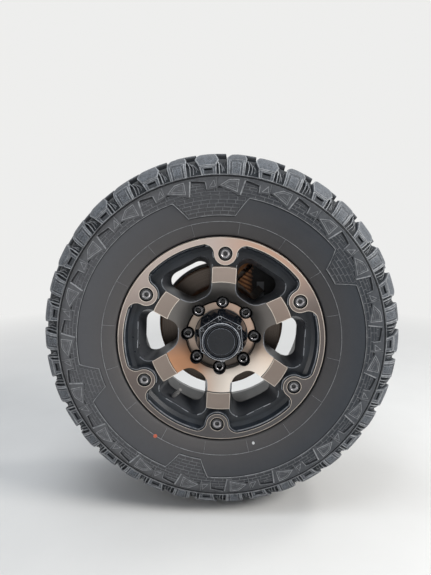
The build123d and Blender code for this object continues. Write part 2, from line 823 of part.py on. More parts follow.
# Bearing housing, bolted to the knuckle through the shield
housing_face_depth = hub_back_depth + running_gap
flange_back_depth = knuckle_face_depth - shield_thick
housing_section = [
    (spindle_radius + bearing_clearance, housing_face_depth),
    (housing_radius, housing_face_depth),
    (housing_radius, flange_back_depth - housing_flange_thick),
    (housing_flange_radius, flange_back_depth - housing_flange_thick),
    (housing_flange_radius, flange_back_depth),
    (housing_pilot_radius, flange_back_depth),
    (housing_pilot_radius, flange_back_depth + housing_pilot_length),
    (spindle_radius + bearing_clearance, flange_back_depth + housing_pilot_length),
]
with BuildPart() as bearing_housing:
    with BuildSketch(Plane.XY):
        with BuildLine():
            Polyline(section(housing_section), close=True)
        make_face()
    revolve(axis=Axis.Y)
finish(bearing_housing, "bearing_housing", rust)

# Splash shield, cut away for the caliper
shield_radius = disc_radius + shield_overhang
shield_step_inner = housing_flange_radius + shield_step_radius
shield_section = [
    (housing_pilot_radius + fastener_clearance, flange_back_depth),
    (shield_step_inner, flange_back_depth),
    (shield_step_inner + shield_slope, shield_ring_depth),
    (shield_radius - shield_thick, shield_ring_depth),
    (shield_radius - shield_thick, shield_ring_depth - shield_lip),
    (shield_radius, shield_ring_depth - shield_lip),
    (shield_radius, shield_ring_depth + shield_thick),
    (shield_step_inner + shield_slope + 1, shield_ring_depth + shield_thick),
    (shield_step_inner + 1, knuckle_face_depth),
    (housing_pilot_radius + fastener_clearance, knuckle_face_depth),
]
bracket_top = caliper_outer - bracket_top_drop
bracket_near = caliper_half + bracket_leg_gap
bracket_far = bracket_near + bracket_leg_width
bracket_tie_inner = pad_inner_radius - bracket_tie_drop
bracket_tie_outer = bracket_tie_inner + bracket_tie_width
notch_inner = bracket_tie_inner - shield_thick
notch_side = bracket_far + shield_notch_margin
notch_corner = shield_radius * tan(radians(shield_gap_angle))
with BuildPart() as splash_shield:
    with BuildSketch(Plane.XY):
        with BuildLine():
            Polyline(section(shield_section), close=True)
        make_face()
    revolve(axis=Axis.Y)
    with BuildSketch(brake(knuckle_face_depth)):
        with BuildLine():
            Polyline(
                (notch_inner, 0),
                (notch_inner, notch_side),
                (shield_radius, notch_corner),
                (2 * shield_radius, 0),
                (shield_radius, -notch_corner),
                (notch_inner, -notch_side),
                close=True,
            )
        make_face()
    extrude(amount=knuckle_face_depth - shield_ring_depth + shield_lip + 1, mode=Mode.SUBTRACT)
finish(splash_shield, "splash_shield", steel)

# Steering knuckle: ring, two arms that reach over the axle's end, eyes, caliper ears and steering arm
kingpin_depth = knuckle_back_depth - kingpin_setback
tie_rod_depth = knuckle_back_depth + tie_rod_setback
guide_height = caliper_outer - guide_drop
guide_offset = (bracket_near + bracket_far) / 2
ear_height = guide_height - ear_drop - bracket_leg_gap / 2
# height of the eye, its radius, its bore
eyes = [
    (upper_eye_height, upper_eye_radius, upper_bore_radius),
    (lower_eye_height, lower_eye_radius, lower_bore_radius),
]


def arm_profile(height, bore):
    """Side of one arm, from the ring up to its eye and clear of the eye's bore."""
    way = 1 if height > 0 else -1
    thin = kingpin_depth - bore - arm_bore_gap
    root = way * arm_root_height
    return [
        (knuckle_face_depth, root),
        (knuckle_face_depth + arm_root_thick, root),
        (thin, root + way * arm_taper_length),
        (thin, height),
        (knuckle_face_depth + eye_web_set, height),
        (knuckle_face_depth, root + way * arm_taper_length),
    ]


tie_root_depth = knuckle_back_depth - tie_arm_root_set
tie_arm = [
    (tie_arm_root_x, tie_root_depth - tie_arm_thick),
    (tie_arm_root_x, tie_root_depth),
    (tie_rod_x, tie_rod_depth + tie_rod_boss_radius / 2),
    (tie_rod_x, tie_rod_depth - tie_rod_boss_radius / 2),
    (2 * tie_arm_root_x, tie_root_depth - tie_arm_thick / 2),
]
ear_side = guide_offset + ear_radius
ear_web_outer = ear_height + ear_web_overlap
ear_web = [
    (ear_web_inner, ear_web_inner_half),
    (ear_web_middle, ear_web_middle_half),
    (ear_web_outer, ear_side),
    (ear_web_outer, guide_offset - ear_radius),
]
with BuildPart() as knuckle:
    with BuildSketch(face(knuckle_back_depth)):
        Circle(knuckle_ring_radius)
    extrude(amount=knuckle_thick)
    for height, eye_radius, bore_radius in eyes:
        with BuildSketch(Plane.YZ):
            Polygon(*[(y_at(depth), z) for depth, z in arm_profile(height, bore_radius)], align=None)
        extrude(amount=arm_half_width, both=True)
        with BuildSketch(Plane.XY.offset(height - eye_length / 2)):
            with Locations((0, y_at(kingpin_depth))):
                Circle(eye_radius)
        extrude(amount=eye_length)
    with BuildSketch(brake(knuckle_face_depth + ear_thick)):
        for side in (1, -1):
            with Locations((ear_height, side * guide_offset)):
                Circle(ear_radius)
            Polygon(*[(x, side * y) for x, y in ear_web], align=None)
    extrude(amount=ear_thick)
    with BuildSketch(Plane.XY.offset(tie_rod_z)):
        Polygon(*[(x, y_at(depth)) for x, depth in tie_arm], align=None)
    extrude(amount=tie_arm_half_height, both=True)
    with BuildSketch(Plane.XY.offset(tie_rod_z - eye_length / 2)):
        with Locations((tie_rod_x, y_at(tie_rod_depth))):
            Circle(tie_rod_boss_radius)
    extrude(amount=eye_length)
    with BuildSketch(face(knuckle_back_depth)):
        Circle(axle_bore_radius)
    extrude(amount=knuckle_thick, mode=Mode.SUBTRACT)
    with BuildSketch(face(knuckle_back_depth - axle_bore_length)):
        Circle(housing_pilot_radius + fit_clearance)
    extrude(amount=knuckle_thick, mode=Mode.SUBTRACT)
    for height, eye_radius, bore_radius in eyes:
        with BuildSketch(Plane.XY.offset(height - eye_length / 2)):
            with Locations((0, y_at(kingpin_depth))):
                Circle(bore_radius)
        extrude(amount=eye_length, mode=Mode.SUBTRACT)
    with BuildSketch(Plane.XY.offset(tie_rod_z - eye_length / 2)):
        with Locations((tie_rod_x, y_at(tie_rod_depth))):
            Circle(tie_rod_bore_radius)
    extrude(amount=eye_length, mode=Mode.SUBTRACT)
finish(knuckle, "knuckle", rust)

# Caliper bracket: two legs that reach over the disc, and a tie between them
pad_outer_face = disc_outer_depth - pad_gap
pad_inner_face = disc_inner_depth + pad_gap
pad_thick = pad_back_thick + lining_thick
bracket_outer_depth = disc_outer_depth - bracket_disc_gap - bracket_thick
bracket_bridge_inner = sqrt((disc_radius + bracket_gap) ** 2 - bracket_near**2)
bracket_leg_inner = guide_height - bracket_leg_height - fit_clearance
# inner end of the legs, depth of their back, thickness
leg_reaches = [
    (bracket_tie_inner, knuckle_face_depth, bracket_thick),
    (bracket_bridge_inner, knuckle_face_depth, knuckle_face_depth - bracket_outer_depth),
    (bracket_leg_inner, bracket_outer_depth + bracket_thick, bracket_thick),
]
with BuildPart() as caliper_bracket:
    for inner_end, back_depth, thick in leg_reaches:
        with BuildSketch(brake(back_depth)):
            with Locations(
                ((inner_end + bracket_top) / 2, guide_offset), ((inner_end + bracket_top) / 2, -guide_offset)
            ):
                Rectangle(bracket_top - inner_end, bracket_leg_width)
        extrude(amount=thick)
    with BuildSketch(brake(knuckle_face_depth)):
        with Locations(((bracket_tie_inner + bracket_tie_outer) / 2, 0)):
            Rectangle(bracket_tie_width, 2 * bracket_far)
    extrude(amount=bracket_thick)
    with BuildSketch(brake(knuckle_face_depth)):
        with Locations((guide_height, guide_offset), (guide_height, -guide_offset)):
            Circle(guide_radius + fastener_clearance)
    extrude(amount=guide_hole_depth, mode=Mode.SUBTRACT)
finish(caliper_bracket, "caliper_bracket", rust)

# Caliper body: fingers outside, bridge over the disc, cylinders inside
finger_face = pad_outer_face - pad_thick
cylinder_face = pad_inner_face + pad_thick + piston_seat_gap
caliper_back = cylinder_face + housing_deep
caliper_inner = pad_inner_radius - pad_foot
caliper_middle = (caliper_inner + caliper_outer) / 2
caliper_length = caliper_back - finger_face + caliper_finger_thick
piston_height = (pad_inner_radius + pad_outer_radius) / 2
housing_inner = piston_height - piston_radius - cylinder_wall
housing_middle = (housing_inner + caliper_outer) / 2
guide_ear_depth = caliper_back - guide_ear_set
guide_ear_reach = guide_offset - caliper_half + guide_ear_root
pistons = [(piston_height, piston_offset), (piston_height, -piston_offset)]
with BuildPart() as caliper:
    with BuildSketch(brake(finger_face)):
        with Locations((caliper_middle, 0)):
            Rectangle(caliper_outer - caliper_inner, 2 * caliper_half)
        with Locations((caliper_inner, 0)):
            Rectangle(2 * caliper_notch_height, caliper_notch_width, mode=Mode.SUBTRACT)
    extrude(amount=caliper_finger_thick)
    with BuildSketch(brake(caliper_back)):
        with Locations((caliper_outer - bridge_thick / 2, 0)):
            Rectangle(bridge_thick, 2 * caliper_half)
    extrude(amount=caliper_length)
    with BuildSketch(brake(caliper_back)):
        with Locations((housing_middle, 0)):
            Rectangle(caliper_outer - housing_inner, 2 * caliper_half)
    extrude(amount=housing_deep)
    with BuildSketch(brake(caliper_back)):
        with Locations((housing_middle, 0)):
            RectangleRounded(caliper_outer - housing_inner, 2 * caliper_half, caliper_corner)
    extrude(amount=caliper_length, mode=Mode.INTERSECT)
    with BuildSketch(brake(cylinder_face - caliper_window_wall)):
        with Locations((caliper_outer, 0)):
            Rectangle(3 * bridge_thick, 2 * caliper_window_half)
    extrude(amount=cylinder_face - finger_face - 2 * caliper_window_wall, mode=Mode.SUBTRACT)
    with BuildSketch(brake(caliper_back)):
        with Locations(*pistons):
            Circle(piston_radius)
    extrude(amount=-cylinder_cap)
    with BuildSketch(brake(guide_ear_depth + guide_ear_thick)):
        for side in (1, -1):
            with Locations((guide_height, side * guide_offset)):
                Circle(guide_ear_radius)
            with Locations((guide_height, side * (guide_offset - guide_ear_reach / 2))):
                Rectangle(2 * guide_ear_radius, guide_ear_reach)
    extrude(amount=guide_ear_thick)
    with BuildSketch(brake(caliper_back - cylinder_wall)):
        with Locations(*pistons):
            Circle(piston_radius)
    extrude(amount=housing_deep - cylinder_wall, mode=Mode.SUBTRACT)
    with BuildSketch(brake(guide_ear_depth + guide_ear_thick)):
        with Locations((guide_height, guide_offset), (guide_height, -guide_offset)):
            Circle(guide_radius + fastener_clearance)
    extrude(amount=guide_ear_thick, mode=Mode.SUBTRACT)
finish(caliper, "caliper", rust)

# Pistons
piston_back = caliper_back - cylinder_wall - piston_back_gap
with BuildPart() as caliper_pistons:
    with BuildSketch(brake(piston_back)):
        with Locations(*pistons):
            Circle(piston_radius - fastener_clearance)
    extrude(amount=piston_back - pad_inner_face - pad_thick)
finish(caliper_pistons, "caliper_pistons", steel)

# Guide pins
guide_seat_depth = guide_ear_depth + guide_ear_thick
with BuildPart() as guide_pins:
    with BuildSketch(brake(guide_seat_depth)):
        with Locations((guide_height, guide_offset), (guide_height, -guide_offset)):
            Circle(guide_radius)
    extrude(amount=guide_seat_depth - knuckle_face_depth + guide_pin_reach)
    with BuildSketch(brake(guide_seat_depth)):
        with Locations((guide_height, guide_offset), (guide_height, -guide_offset)):
            RegularPolygon(guide_radius + guide_head_rim, 6, major_radius=False)
    extrude(amount=-guide_head_thick)
finish(guide_pins, "guide_pins", steel)

# Brake pads, a backing plate and lining each. name, depth of the lining's face, direction away from the disc
pads = [("brake_pad_outer", pad_outer_face, 1), ("brake_pad_inner", pad_inner_face, -1)]
for name, lining_face, away in pads:
    with BuildPart() as brake_pad:
        with BuildSketch(brake(lining_face)):
            with BuildLine():
                CenterArc((0, 0), pad_inner_radius, -pad_half_angle, 2 * pad_half_angle)
                CenterArc((0, 0), pad_outer_radius, -pad_half_angle, 2 * pad_half_angle)
                for turn in (-pad_half_angle, pad_half_angle):
                    corner = Vector(cos(radians(turn)), sin(radians(turn)))
                    Line(corner * pad_inner_radius, corner * pad_outer_radius)
            make_face()
        extrude(amount=away * pad_thick)
    finish(brake_pad, name, steel)
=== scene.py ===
"""Looks of the off-road wheel end: mud-terrain tyre, machined and painted wheel, and the brake behind it.

Lengths in the tables are millimetres, as on the part's drawings, and metres in the finishes. Angles run
clockwise from the top, as seen from outside. The outer side of the wheel looks along -Y.
"""

from math import cos, pi, radians, sin

import bmesh
import bpy
import numpy as np
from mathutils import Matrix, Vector


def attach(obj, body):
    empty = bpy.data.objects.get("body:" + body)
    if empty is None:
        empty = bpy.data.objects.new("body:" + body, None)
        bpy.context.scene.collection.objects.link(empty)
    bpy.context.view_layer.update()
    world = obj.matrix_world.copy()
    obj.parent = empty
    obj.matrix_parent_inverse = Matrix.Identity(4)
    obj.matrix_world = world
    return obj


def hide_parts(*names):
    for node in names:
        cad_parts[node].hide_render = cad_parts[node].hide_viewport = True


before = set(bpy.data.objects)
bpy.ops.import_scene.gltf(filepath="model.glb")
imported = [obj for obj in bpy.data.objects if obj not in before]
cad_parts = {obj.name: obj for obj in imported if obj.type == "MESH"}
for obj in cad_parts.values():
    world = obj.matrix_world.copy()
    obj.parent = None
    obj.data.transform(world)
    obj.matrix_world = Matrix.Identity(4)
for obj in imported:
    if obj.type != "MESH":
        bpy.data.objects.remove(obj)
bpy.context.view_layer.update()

# Places shared with the solids
BACK_DEPTH = 258.0
MID_DEPTH = 127.0
PARK_TURN = 2.6
BOLT_CIRCLE = 412.0
NUT_CIRCLE = 165.1
FLOOR_Z = -0.440

# Distance in metres at which points are joined, and angle in degrees from which an edge is rounded
WELD = 0.00002
ROUND_ANGLE = 26


def row_y(depth):
    """Row Y in metres of a depth behind the wheel's outer lip."""
    return (depth - BACK_DEPTH) / 1000


def new_piece(name, points, faces, sharp, **values):
    """An object from points in metres and faces of any size, smooth up to an angle, with values by point."""
    mesh = bpy.data.meshes.new(name)
    mesh.from_pydata([tuple(p) for p in points], [], faces)
    for key, numbers in values.items():
        mesh.attributes.new(key, "FLOAT", "POINT").data.foreach_set("value", list(numbers))
    mesh.validate()
    mesh.polygons.foreach_set("use_smooth", [True] * len(mesh.polygons))
    mesh.set_sharp_from_angle(angle=radians(sharp))
    piece = bpy.data.objects.new(name, mesh)
    bpy.context.scene.collection.objects.link(piece)
    return piece


class Surface:
    """A surface of revolution: a key along the section gives radius, half width and the outward normal."""

    def __init__(self, keys, radii, widths):
        self.keys = np.asarray(keys, float)
        self.radii = np.asarray(radii, float)
        self.widths = np.asarray(widths, float)
        along = np.stack([np.gradient(self.radii), np.gradient(self.widths)], 1)
        along /= np.linalg.norm(along, axis=1)[:, None]
        self.normal_r = along[:, 1]
        self.normal_w = -along[:, 0]
        if self.normal_r.mean() + self.normal_w.mean() < 0:
            self.normal_r = -self.normal_r
            self.normal_w = -self.normal_w

    def place(self, turns, keys, heights, side):
        """Row points for turns in radians, keys and heights, on the outer (1) or the inner (-1) side."""
        r = np.interp(keys, self.keys, self.radii) + heights * np.interp(keys, self.keys, self.normal_r)
        w = np.interp(keys, self.keys, self.widths) + heights * np.interp(keys, self.keys, self.normal_w)
        y = row_y(MID_DEPTH - side * w)
        return np.stack([r * np.sin(turns) / 1000, y, r * np.cos(turns) / 1000], 1)


def smooth_line(points, steps):
    """A Catmull-Rom line through the points, with steps pieces to each span."""
    p = np.asarray(points, float)
    p = np.vstack([2 * p[0] - p[1], p, 2 * p[-1] - p[-2]])
    out = []
    for i in range(1, len(p) - 2):
        for t in np.linspace(0, 1, steps, endpoint=False):
            a = 2 * p[i]
            b = p[i + 1] - p[i - 1]
            c = 2 * p[i - 1] - 5 * p[i] + 4 * p[i + 1] - p[i + 2]
            d = -p[i - 1] + 3 * p[i] - 3 * p[i + 1] + p[i + 2]
            out.append((a + b * t + c * t * t + d * t**3) / 2)
    out.append(p[-2])
    return np.array(out)


def arc_keys(line):
    """Length along a line at each of its points."""
    steps = np.linalg.norm(np.diff(line, axis=0), axis=1)
    return np.concatenate([[0], np.cumsum(steps)])


# how far a sharp corner may run ahead of its sides
SHARPEST_CORNER = 0.35


def inset(outline, distance):
    """The outline moved inwards by a distance, corner by corner."""
    p = np.asarray(outline, float)
    n = len(p)
    area = sum(p[i][0] * p[(i + 1) % n][1] - p[(i + 1) % n][0] * p[i][1] for i in range(n))
    way = 1 if area > 0 else -1
    out = []
    for i in range(n):
        before = p[i] - p[i - 1]
        after = p[(i + 1) % n] - p[i]
        before = before / np.linalg.norm(before)
        after = after / np.linalg.norm(after)
        normal_a = way * np.array([-before[1], before[0]])
        normal_b = way * np.array([-after[1], after[0]])
        middle = normal_a + normal_b
        middle = middle / max(np.dot(middle, normal_a), SHARPEST_CORNER)
        out.append(p[i] + middle * distance)
    return np.array(out)


# wear of an edge runs from -1, painted shade, over 0, plain rubber, to 1, rubbed grey that is partly a
# painted highlight
PAINTED_SHADE = -1.0
# lightness of the bricks' rims, rubbed and partly a painted highlight
BRICK_RIM_WEAR_AND_LIGHT = 0.42
# a block's foot that lies deeper than this is painted dark as shade
SHADE_DEPTH = -10


class Relief:
    """Flat forms drawn as outlines over (arc, key) with heights and wear, later wrapped on a surface."""

    def __init__(self):
        self.form = bmesh.new()
        self.wear = self.form.verts.layers.float.new("wear")

    def point(self, x, y, height, wear=0.0):
        """A corner, with its wear: rubbed and painted light above 0, painted shade below 0."""
        corner = self.form.verts.new((x, y, height))
        corner[self.wear] = wear
        return corner

    def rings(self, *rings):
        """Walls between outlines of as many corners, with height and wear, and a face on the last."""
        rows = []
        for outline, height, *wear in rings:
            rows.append([self.point(x, y, height, *wear) for x, y in outline])
        n = len(rows[0])
        for low, high in zip(rows, rows[1:]):
            for i in range(n):
                j = (i + 1) % n
                self.form.faces.new((low[i], low[j], high[j], high[i]))
        self.form.faces.new(rows[-1])

    def stack(self, outline, *rows):
        """Rings of one outline, each row with how far it is drawn in, its height and its wear."""
        self.rings(*((inset(outline, row[0]) if row[0] else outline, *row[1:]) for row in rows))

    def block(self, outline, low, high, draft=1.5, edge=1.0, wear=1.0):
        """A drafted block with a rounded top edge, rubbed and painted light, and a foot painted dark as
        shade where it lies deep.
        """
        self.stack(
            outline,
            (0, low, PAINTED_SHADE if low < SHADE_DEPTH else 0.0),
            (draft, high - edge, 0.5 * wear),
            (draft + 0.3 * edge, high - 0.3 * edge, wear),
            (draft + edge, high, 0.6 * wear),
            (draft + 2.2 * edge, high, 0.0),
        )

    def frame(self, outline):
        """A shallow brick with a rubbed rim that is partly a painted highlight."""
        self.stack(outline, (0, -0.5, 0.0), (0.1, 0.8, BRICK_RIM_WEAR_AND_LIGHT), (0.7, 0.8, BRICK_RIM_WEAR_AND_LIGHT), (1.0, 0.2, 0.0))

    def rib(self, points, width, low, high, wear=1.0):
        """A narrow raised line along open points."""
        p = np.asarray(points, float)
        along = np.gradient(p, axis=0)
        along /= np.linalg.norm(along, axis=1)[:, None]
        across = np.stack([-along[:, 1], along[:, 0]], 1) * width / 2
        left = [self.point(*q, low) for q in p + across]
        crest_left = [self.point(*q, high, wear) for q in p + 0.45 * across]
        crest_right = [self.point(*q, high, wear) for q in p - 0.45 * across]
        right = [self.point(*q, low) for q in p - across]
        strips = [left, crest_left, crest_right, right]
        for a, b in zip(strips, strips[1:]):
            for i in range(len(p) - 1):
                self.form.faces.new((a[i], b[i], b[i + 1], a[i + 1]))
        for end in (0, -1):
            self.form.faces.new([s[end] for s in strips])

    def cut(self, arc_step, key_step):
        """Cuts the faces into short pieces that can follow the surface, and gives the form's arrays."""
        for axis, step in ((0, arc_step), (1, key_step)):
            normal = Vector((1 - axis, axis, 0))
            places = [v.co[axis] for v in self.form.verts]
            for place in np.arange(min(places) + step / 2, max(places), step):
                everything = self.form.verts[:] + self.form.edges[:] + self.form.faces[:]
                bmesh.ops.bisect_plane(
                    self.form, geom=everything, dist=1e-5, plane_co=normal * place, plane_no=normal
                )
        bmesh.ops.recalc_face_normals(self.form, faces=self.form.faces[:])
        return self.arrays()

    def arrays(self):
        """Points, with their wear as a fourth number, and faces of the form."""
        self.form.verts.ensure_lookup_table()
        self.form.verts.index_update()
        points = np.array([(*v.co, v[self.wear]) for v in self.form.verts])
        faces = [[v.index for v in f.verts] for f in self.form.faces]
        self.form.free()
        return points, faces


def wrapped_piece(name, parts, sharp):
    """A piece from copies (surface, points, faces, turns, radius, side), with its heights and wear."""
    all_points = []
    all_faces = []
    lifts = []
    wears = []
    start = 0
    for surface, points, faces, turns, radius, side in parts:
        for turn in turns:
            placed = surface.place(turn + side * points[:, 0] / radius, points[:, 1], points[:, 2], side)
            all_points.append(placed)
            all_faces.extend([[start + i for i in f] for f in faces])
            lifts.append(points[:, 2])
            wears.append(points[:, 3])
            start += len(points)
    points, lifts, wears = [np.concatenate(rows) for rows in (all_points, lifts, wears)]
    return new_piece(name, points, all_faces, sharp, lift=lifts, wear=wears)


def ring_faces(rows, steps):
    """Faces between rows of points that run round an axis."""
    faces = []
    for i in range(rows - 1):
        for k in range(steps):
            j = (k + 1) % steps
            a = i * steps
            b = a + steps
            faces.append([a + k, a + j, b + j, b + k])
    return faces


def lathe(profile, segments):
    """Points and faces of (radius, depth) pairs turned about the wheel's axis."""
    points = []
    for r, depth in profile:
        for k in range(segments):
            turn = 2 * pi * k / segments
            points.append((r * sin(turn) / 1000, row_y(depth), r * cos(turn) / 1000))
    return points, ring_faces(len(profile), segments)


# Tyre: its sections
# radius, half width of the casing and of the groove floors between the lugs
casing_points = [
    (229.2, 96.0), (229.2, 112.6), (231.0, 113.9), (244.0, 114.1), (247.4, 116.5), (248.6, 123.0),
    (252.5, 128.6), (260.0, 132.8), (270.0, 136.6), (282.0, 139.0), (300.0, 141.8), (325.0, 143.2),
    (345.0, 142.6), (362.0, 141.2), (375.0, 139.4), (384.0, 136.2), (393.0, 130.4), (401.0, 123.0),
    (408.0, 113.5), (413.5, 102.0), (418.5, 86.0), (423.0, 64.0), (426.0, 40.0), (427.0, 16.0),
    (427.0, 0.0),
]
# radius, half width of the lugs' outer faces
lug_points = [
    (377.0, 141.0), (386.0, 138.6), (396.0, 134.6), (405.0, 128.6), (412.5, 120.8), (419.5, 110.6),
    (425.5, 98.5), (430.8, 84.0), (435.4, 66.0), (438.2, 45.0), (439.2, 22.0), (439.2, 0.0),
]
casing_line = smooth_line(casing_points, 5)
lug_line = smooth_line(lug_points, 8)
lug_keys = arc_keys(lug_line)
lug_surface = Surface(lug_keys, lug_line[:, 0], lug_line[:, 1])

# The wall is the stretch of the casing that faces sideways
WALL_FOOT = 247
WALL_TOP = 400
WALL_HALF_WIDTH = 116
is_wall = (casing_line[:, 0] > WALL_FOOT) & (casing_line[:, 0] < WALL_TOP)
wall = casing_line[is_wall & (casing_line[:, 1] > WALL_HALF_WIDTH)]
wall_surface = Surface(wall[:, 0], wall[:, 0], wall[:, 1])

# The crown is the lugs' line of both sides
crown = np.vstack([lug_line[::-1] * (1, -1), lug_line[1:]])
crown = crown[np.argsort(crown[:, 1])]
crown_surface = Surface(crown[:, 1], crown[:, 0], crown[:, 1])
crown_surface.normal_r = np.abs(crown_surface.normal_r)
crown_surface.normal_w = np.sign(crown_surface.widths) * np.abs(crown_surface.normal_w)

PITCHES = 19
PITCH = 2 * pi / PITCHES

# Radius at which arc lengths on each surface are true
LUG_RADIUS = 400.0
WALL_RADIUS = 358.0
CROWN_RADIUS = 440.0


def pitch_turns(start, side):
    """Turns of one form on every pitch, from its angle on the first. Inside it stands a quarter pitch on."""
    first = radians(start + PARK_TURN)
    if side < 0:
        first += PITCH / 4
    return [side * first + PITCH * k for k in range(PITCHES)]


# Tyre: casing, with a lift that darkens the grooves' floors from this radius on, as painted shade
GROOVE_START = 378
GROOVE_RAMP = 8
GROOVE_SHADE_LIFT = -13
CASING_STEPS = 12 * PITCHES


def build_casing():
    """The tyre's smooth body, both sides, closed inside the wheel."""
    outer = [(r, MID_DEPTH - w) for r, w in casing_line]
    inner = [(r, MID_DEPTH + w) for r, w in casing_line[::-1][1:]]
    profile = outer + inner
    points, faces = lathe(profile, CASING_STEPS)
    lifts = []
    for r, depth in profile:
        lifts.extend([GROOVE_SHADE_LIFT * min(max((r - GROOVE_START) / GROOVE_RAMP, 0), 1)] * CASING_STEPS)
    return new_piece("tyre_casing", points, faces, sharp=50, lift=lifts, wear=[0.0] * len(lifts))


# Tyre: shoulder lugs. Their feet end inside the casing, and their long faces are cut to follow it
LUG_FOOT = -14
CREST_FOOT = -16
ARC_CUT = 9
KEY_CUT = 7


def framed_lug():
    """Framed lug: a low block round a square recess, and over it a sloping crest, narrower at the tread."""
    relief = Relief()
    foot = [(-16, 2.5), (20, 2.5), (20, 27.5), (-21, 27.5)]
    # feet and the recess's floor painted dark as shade, rims rubbed and painted light
    relief.rings(
        (foot, LUG_FOOT, PAINTED_SHADE),
        (inset(foot, 1.0), -0.9, 0.3),
        (inset(foot, 1.4), 0.0, 1.0),
        (inset(foot, 3.2), 0.0, 1.0),
        (inset(foot, 3.8), -0.7, -0.4),
        ([(-10.3, 6.2), (12.3, 6.2), (12.0, 22.6), (-11.6, 22.6)], -0.7, 0.2),
        ([(-9.5, 7.0), (11.5, 7.0), (11.2, 21.8), (-10.8, 21.8)], -0.7, 0.9),
        ([(-8.7, 7.8), (10.7, 7.8), (10.4, 21.0), (-10.0, 21.0)], -2.4, -0.5),
        ([(-7.5, 16.0), (9.0, 16.0), (9.0, 20.6), (-8.6, 20.6)], -2.4, -0.5),
        ([(-7.0, 16.6), (8.5, 16.6), (8.5, 20.0), (-8.1, 20.0)], -8.0, PAINTED_SHADE),
    )
    crest = [(-21, 26.5), (20, 26.5), (27, 50), (24, 62), (17, 108)]
    crest += [(-13, 112), (-22, 92), (-29, 58), (-28, 50)]
    rows = [(0, CREST_FOOT, PAINTED_SHADE), (1.8, -1.6, 0.2), (2.2, -0.8, 0.9), (3.8, -0.5, 0.8), (5.2, -0.5, 0.0)]
    relief.stack(crest, *rows)
    relief.rib([(-14, 44), (14, 40)], 1.4, -2.0, -0.3, 0.5)
    relief.rib([(21.5, 42), (24.8, 34), (25.6, 20), (26.4, 3)], 4.6, LUG_FOOT, -0.9, 1.0)
    relief.rib([(28.0, 38), (31.2, 27), (32.2, 15), (33.0, 3)], 3.2, LUG_FOOT, -3.2, 0.7)
    return relief.cut(ARC_CUT, KEY_CUT)


def plain_lug():
    """Plain lug: a raised plate between two upright ribs, with a slot under its crest."""
    relief = Relief()
    body = [(-22, 2.5), (21, 2.5), (22, 44), (24, 60), (20, 96), (4, 104), (-12, 96), (-22, 62), (-23, 44)]
    rows = [(0, CREST_FOOT, PAINTED_SHADE), (1.4, -1.7, 0.3), (1.9, -0.9, 1.0), (3.4, -0.9, 0.8), (4.2, -0.9, -0.2)]
    relief.stack(body, *rows)
    for x, wear in ((-15.5, 0.7), (15.0, 1.0)):
        relief.rib([(x, 4), (x, 14), (x, 24), (x * 1.02, 36), (x * 1.04, 46)], 4.4, -2.0, 0.0, wear)
    # dark lines painted on the plate as the shade of grooves
    for x in (-12.2, 11.8):
        relief.rib([(x, 4.5), (x, 16), (x, 28), (x, 40)], 1.8, -1.5, -0.85, PAINTED_SHADE)
    relief.block([(-10.5, 6), (10.0, 6), (10.5, 38), (-11.0, 38)], -2, 0.0, draft=0.6, edge=0.7)
    # the slot's floor and walls painted dark as shade
    relief.rings(
        ([(-13, 40), (13, 40), (13, 47), (-13, 47)], -1.0, -0.4),
        ([(-12, 40.6), (12, 40.6), (12, 46.2), (-12, 46.2)], -0.6, 0.6),
        ([(-10.5, 41.2), (10.5, 41.2), (10.5, 44.6), (-10.5, 44.6)], -0.6, PAINTED_SHADE),
        ([(-10.2, 41.5), (10.2, 41.5), (10.2, 44.3), (-10.2, 44.3)], -5.0, PAINTED_SHADE),
    )
    relief.rib([(-17, 49.5), (0, 50.5), (17, 49.5)], 2.4, -1.5, 0.0, 1.0)
    return relief.cut(ARC_CUT, KEY_CUT)


def gap_fins():
    """Curved fins between the plain lug and the framed one."""
    relief = Relief()
    # start at the tread's edge, middle, foot: arc and length along the lug's line, then width and height
    fins = [
        ((-9.5, 52), (-4.5, 30), (-6.0, 3), 3.4, -1.6),
        ((-4.0, 48), (2.8, 27), (0.6, 3), 3.2, -3.0),
        ((1.5, 42), (9.2, 23), (7.4, 3), 3.0, -4.2),
        ((8.0, 33), (13.8, 18), (13.2, 3), 2.4, -5.2),
    ]
    for top, middle, foot, width, height in fins:
        relief.rib(smooth_line([top, middle, foot], 5), width, LUG_FOOT, height, 0.8)
    return relief.cut(30, KEY_CUT)


def gap_step():
    """A rounded step and a fin in the gap before the plain lug."""
    relief = Relief()
    step = [(-1.5, 3), (9, 3), (8, 12), (4.5, 24), (0, 32), (-3, 32), (-2, 16)]
    relief.block(step, LUG_FOOT, -4.0, draft=1.2, edge=1.0)
    relief.rib([(6.5, 46), (4.5, 36), (7.5, 24), (10.5, 14)], 1.8, -15, -5.6, 0.5)
    return relief.cut(ARC_CUT, KEY_CUT)


def build_shoulder_lugs(side, name):
    """All shoulder lugs of one side, each form with its angle on the first pitch."""
    parts = []
    for made, start in ((framed_lug(), 12.0), (plain_lug(), 2.2), (gap_fins(), 6.9), (gap_step(), 16.6)):
        parts.append((lug_surface, *made, pitch_turns(start, side), LUG_RADIUS, side))
    return wrapped_piece(name, parts, 38)


# Tyre: centre tread, two sets of blocks to a pitch
TREAD_SETS = 2 * PITCHES
TREAD_CLOCK = 4.7
# lightness of the blocks' rims, rubbed and partly a painted highlight
TREAD_WEAR_AND_LIGHT = 0.45


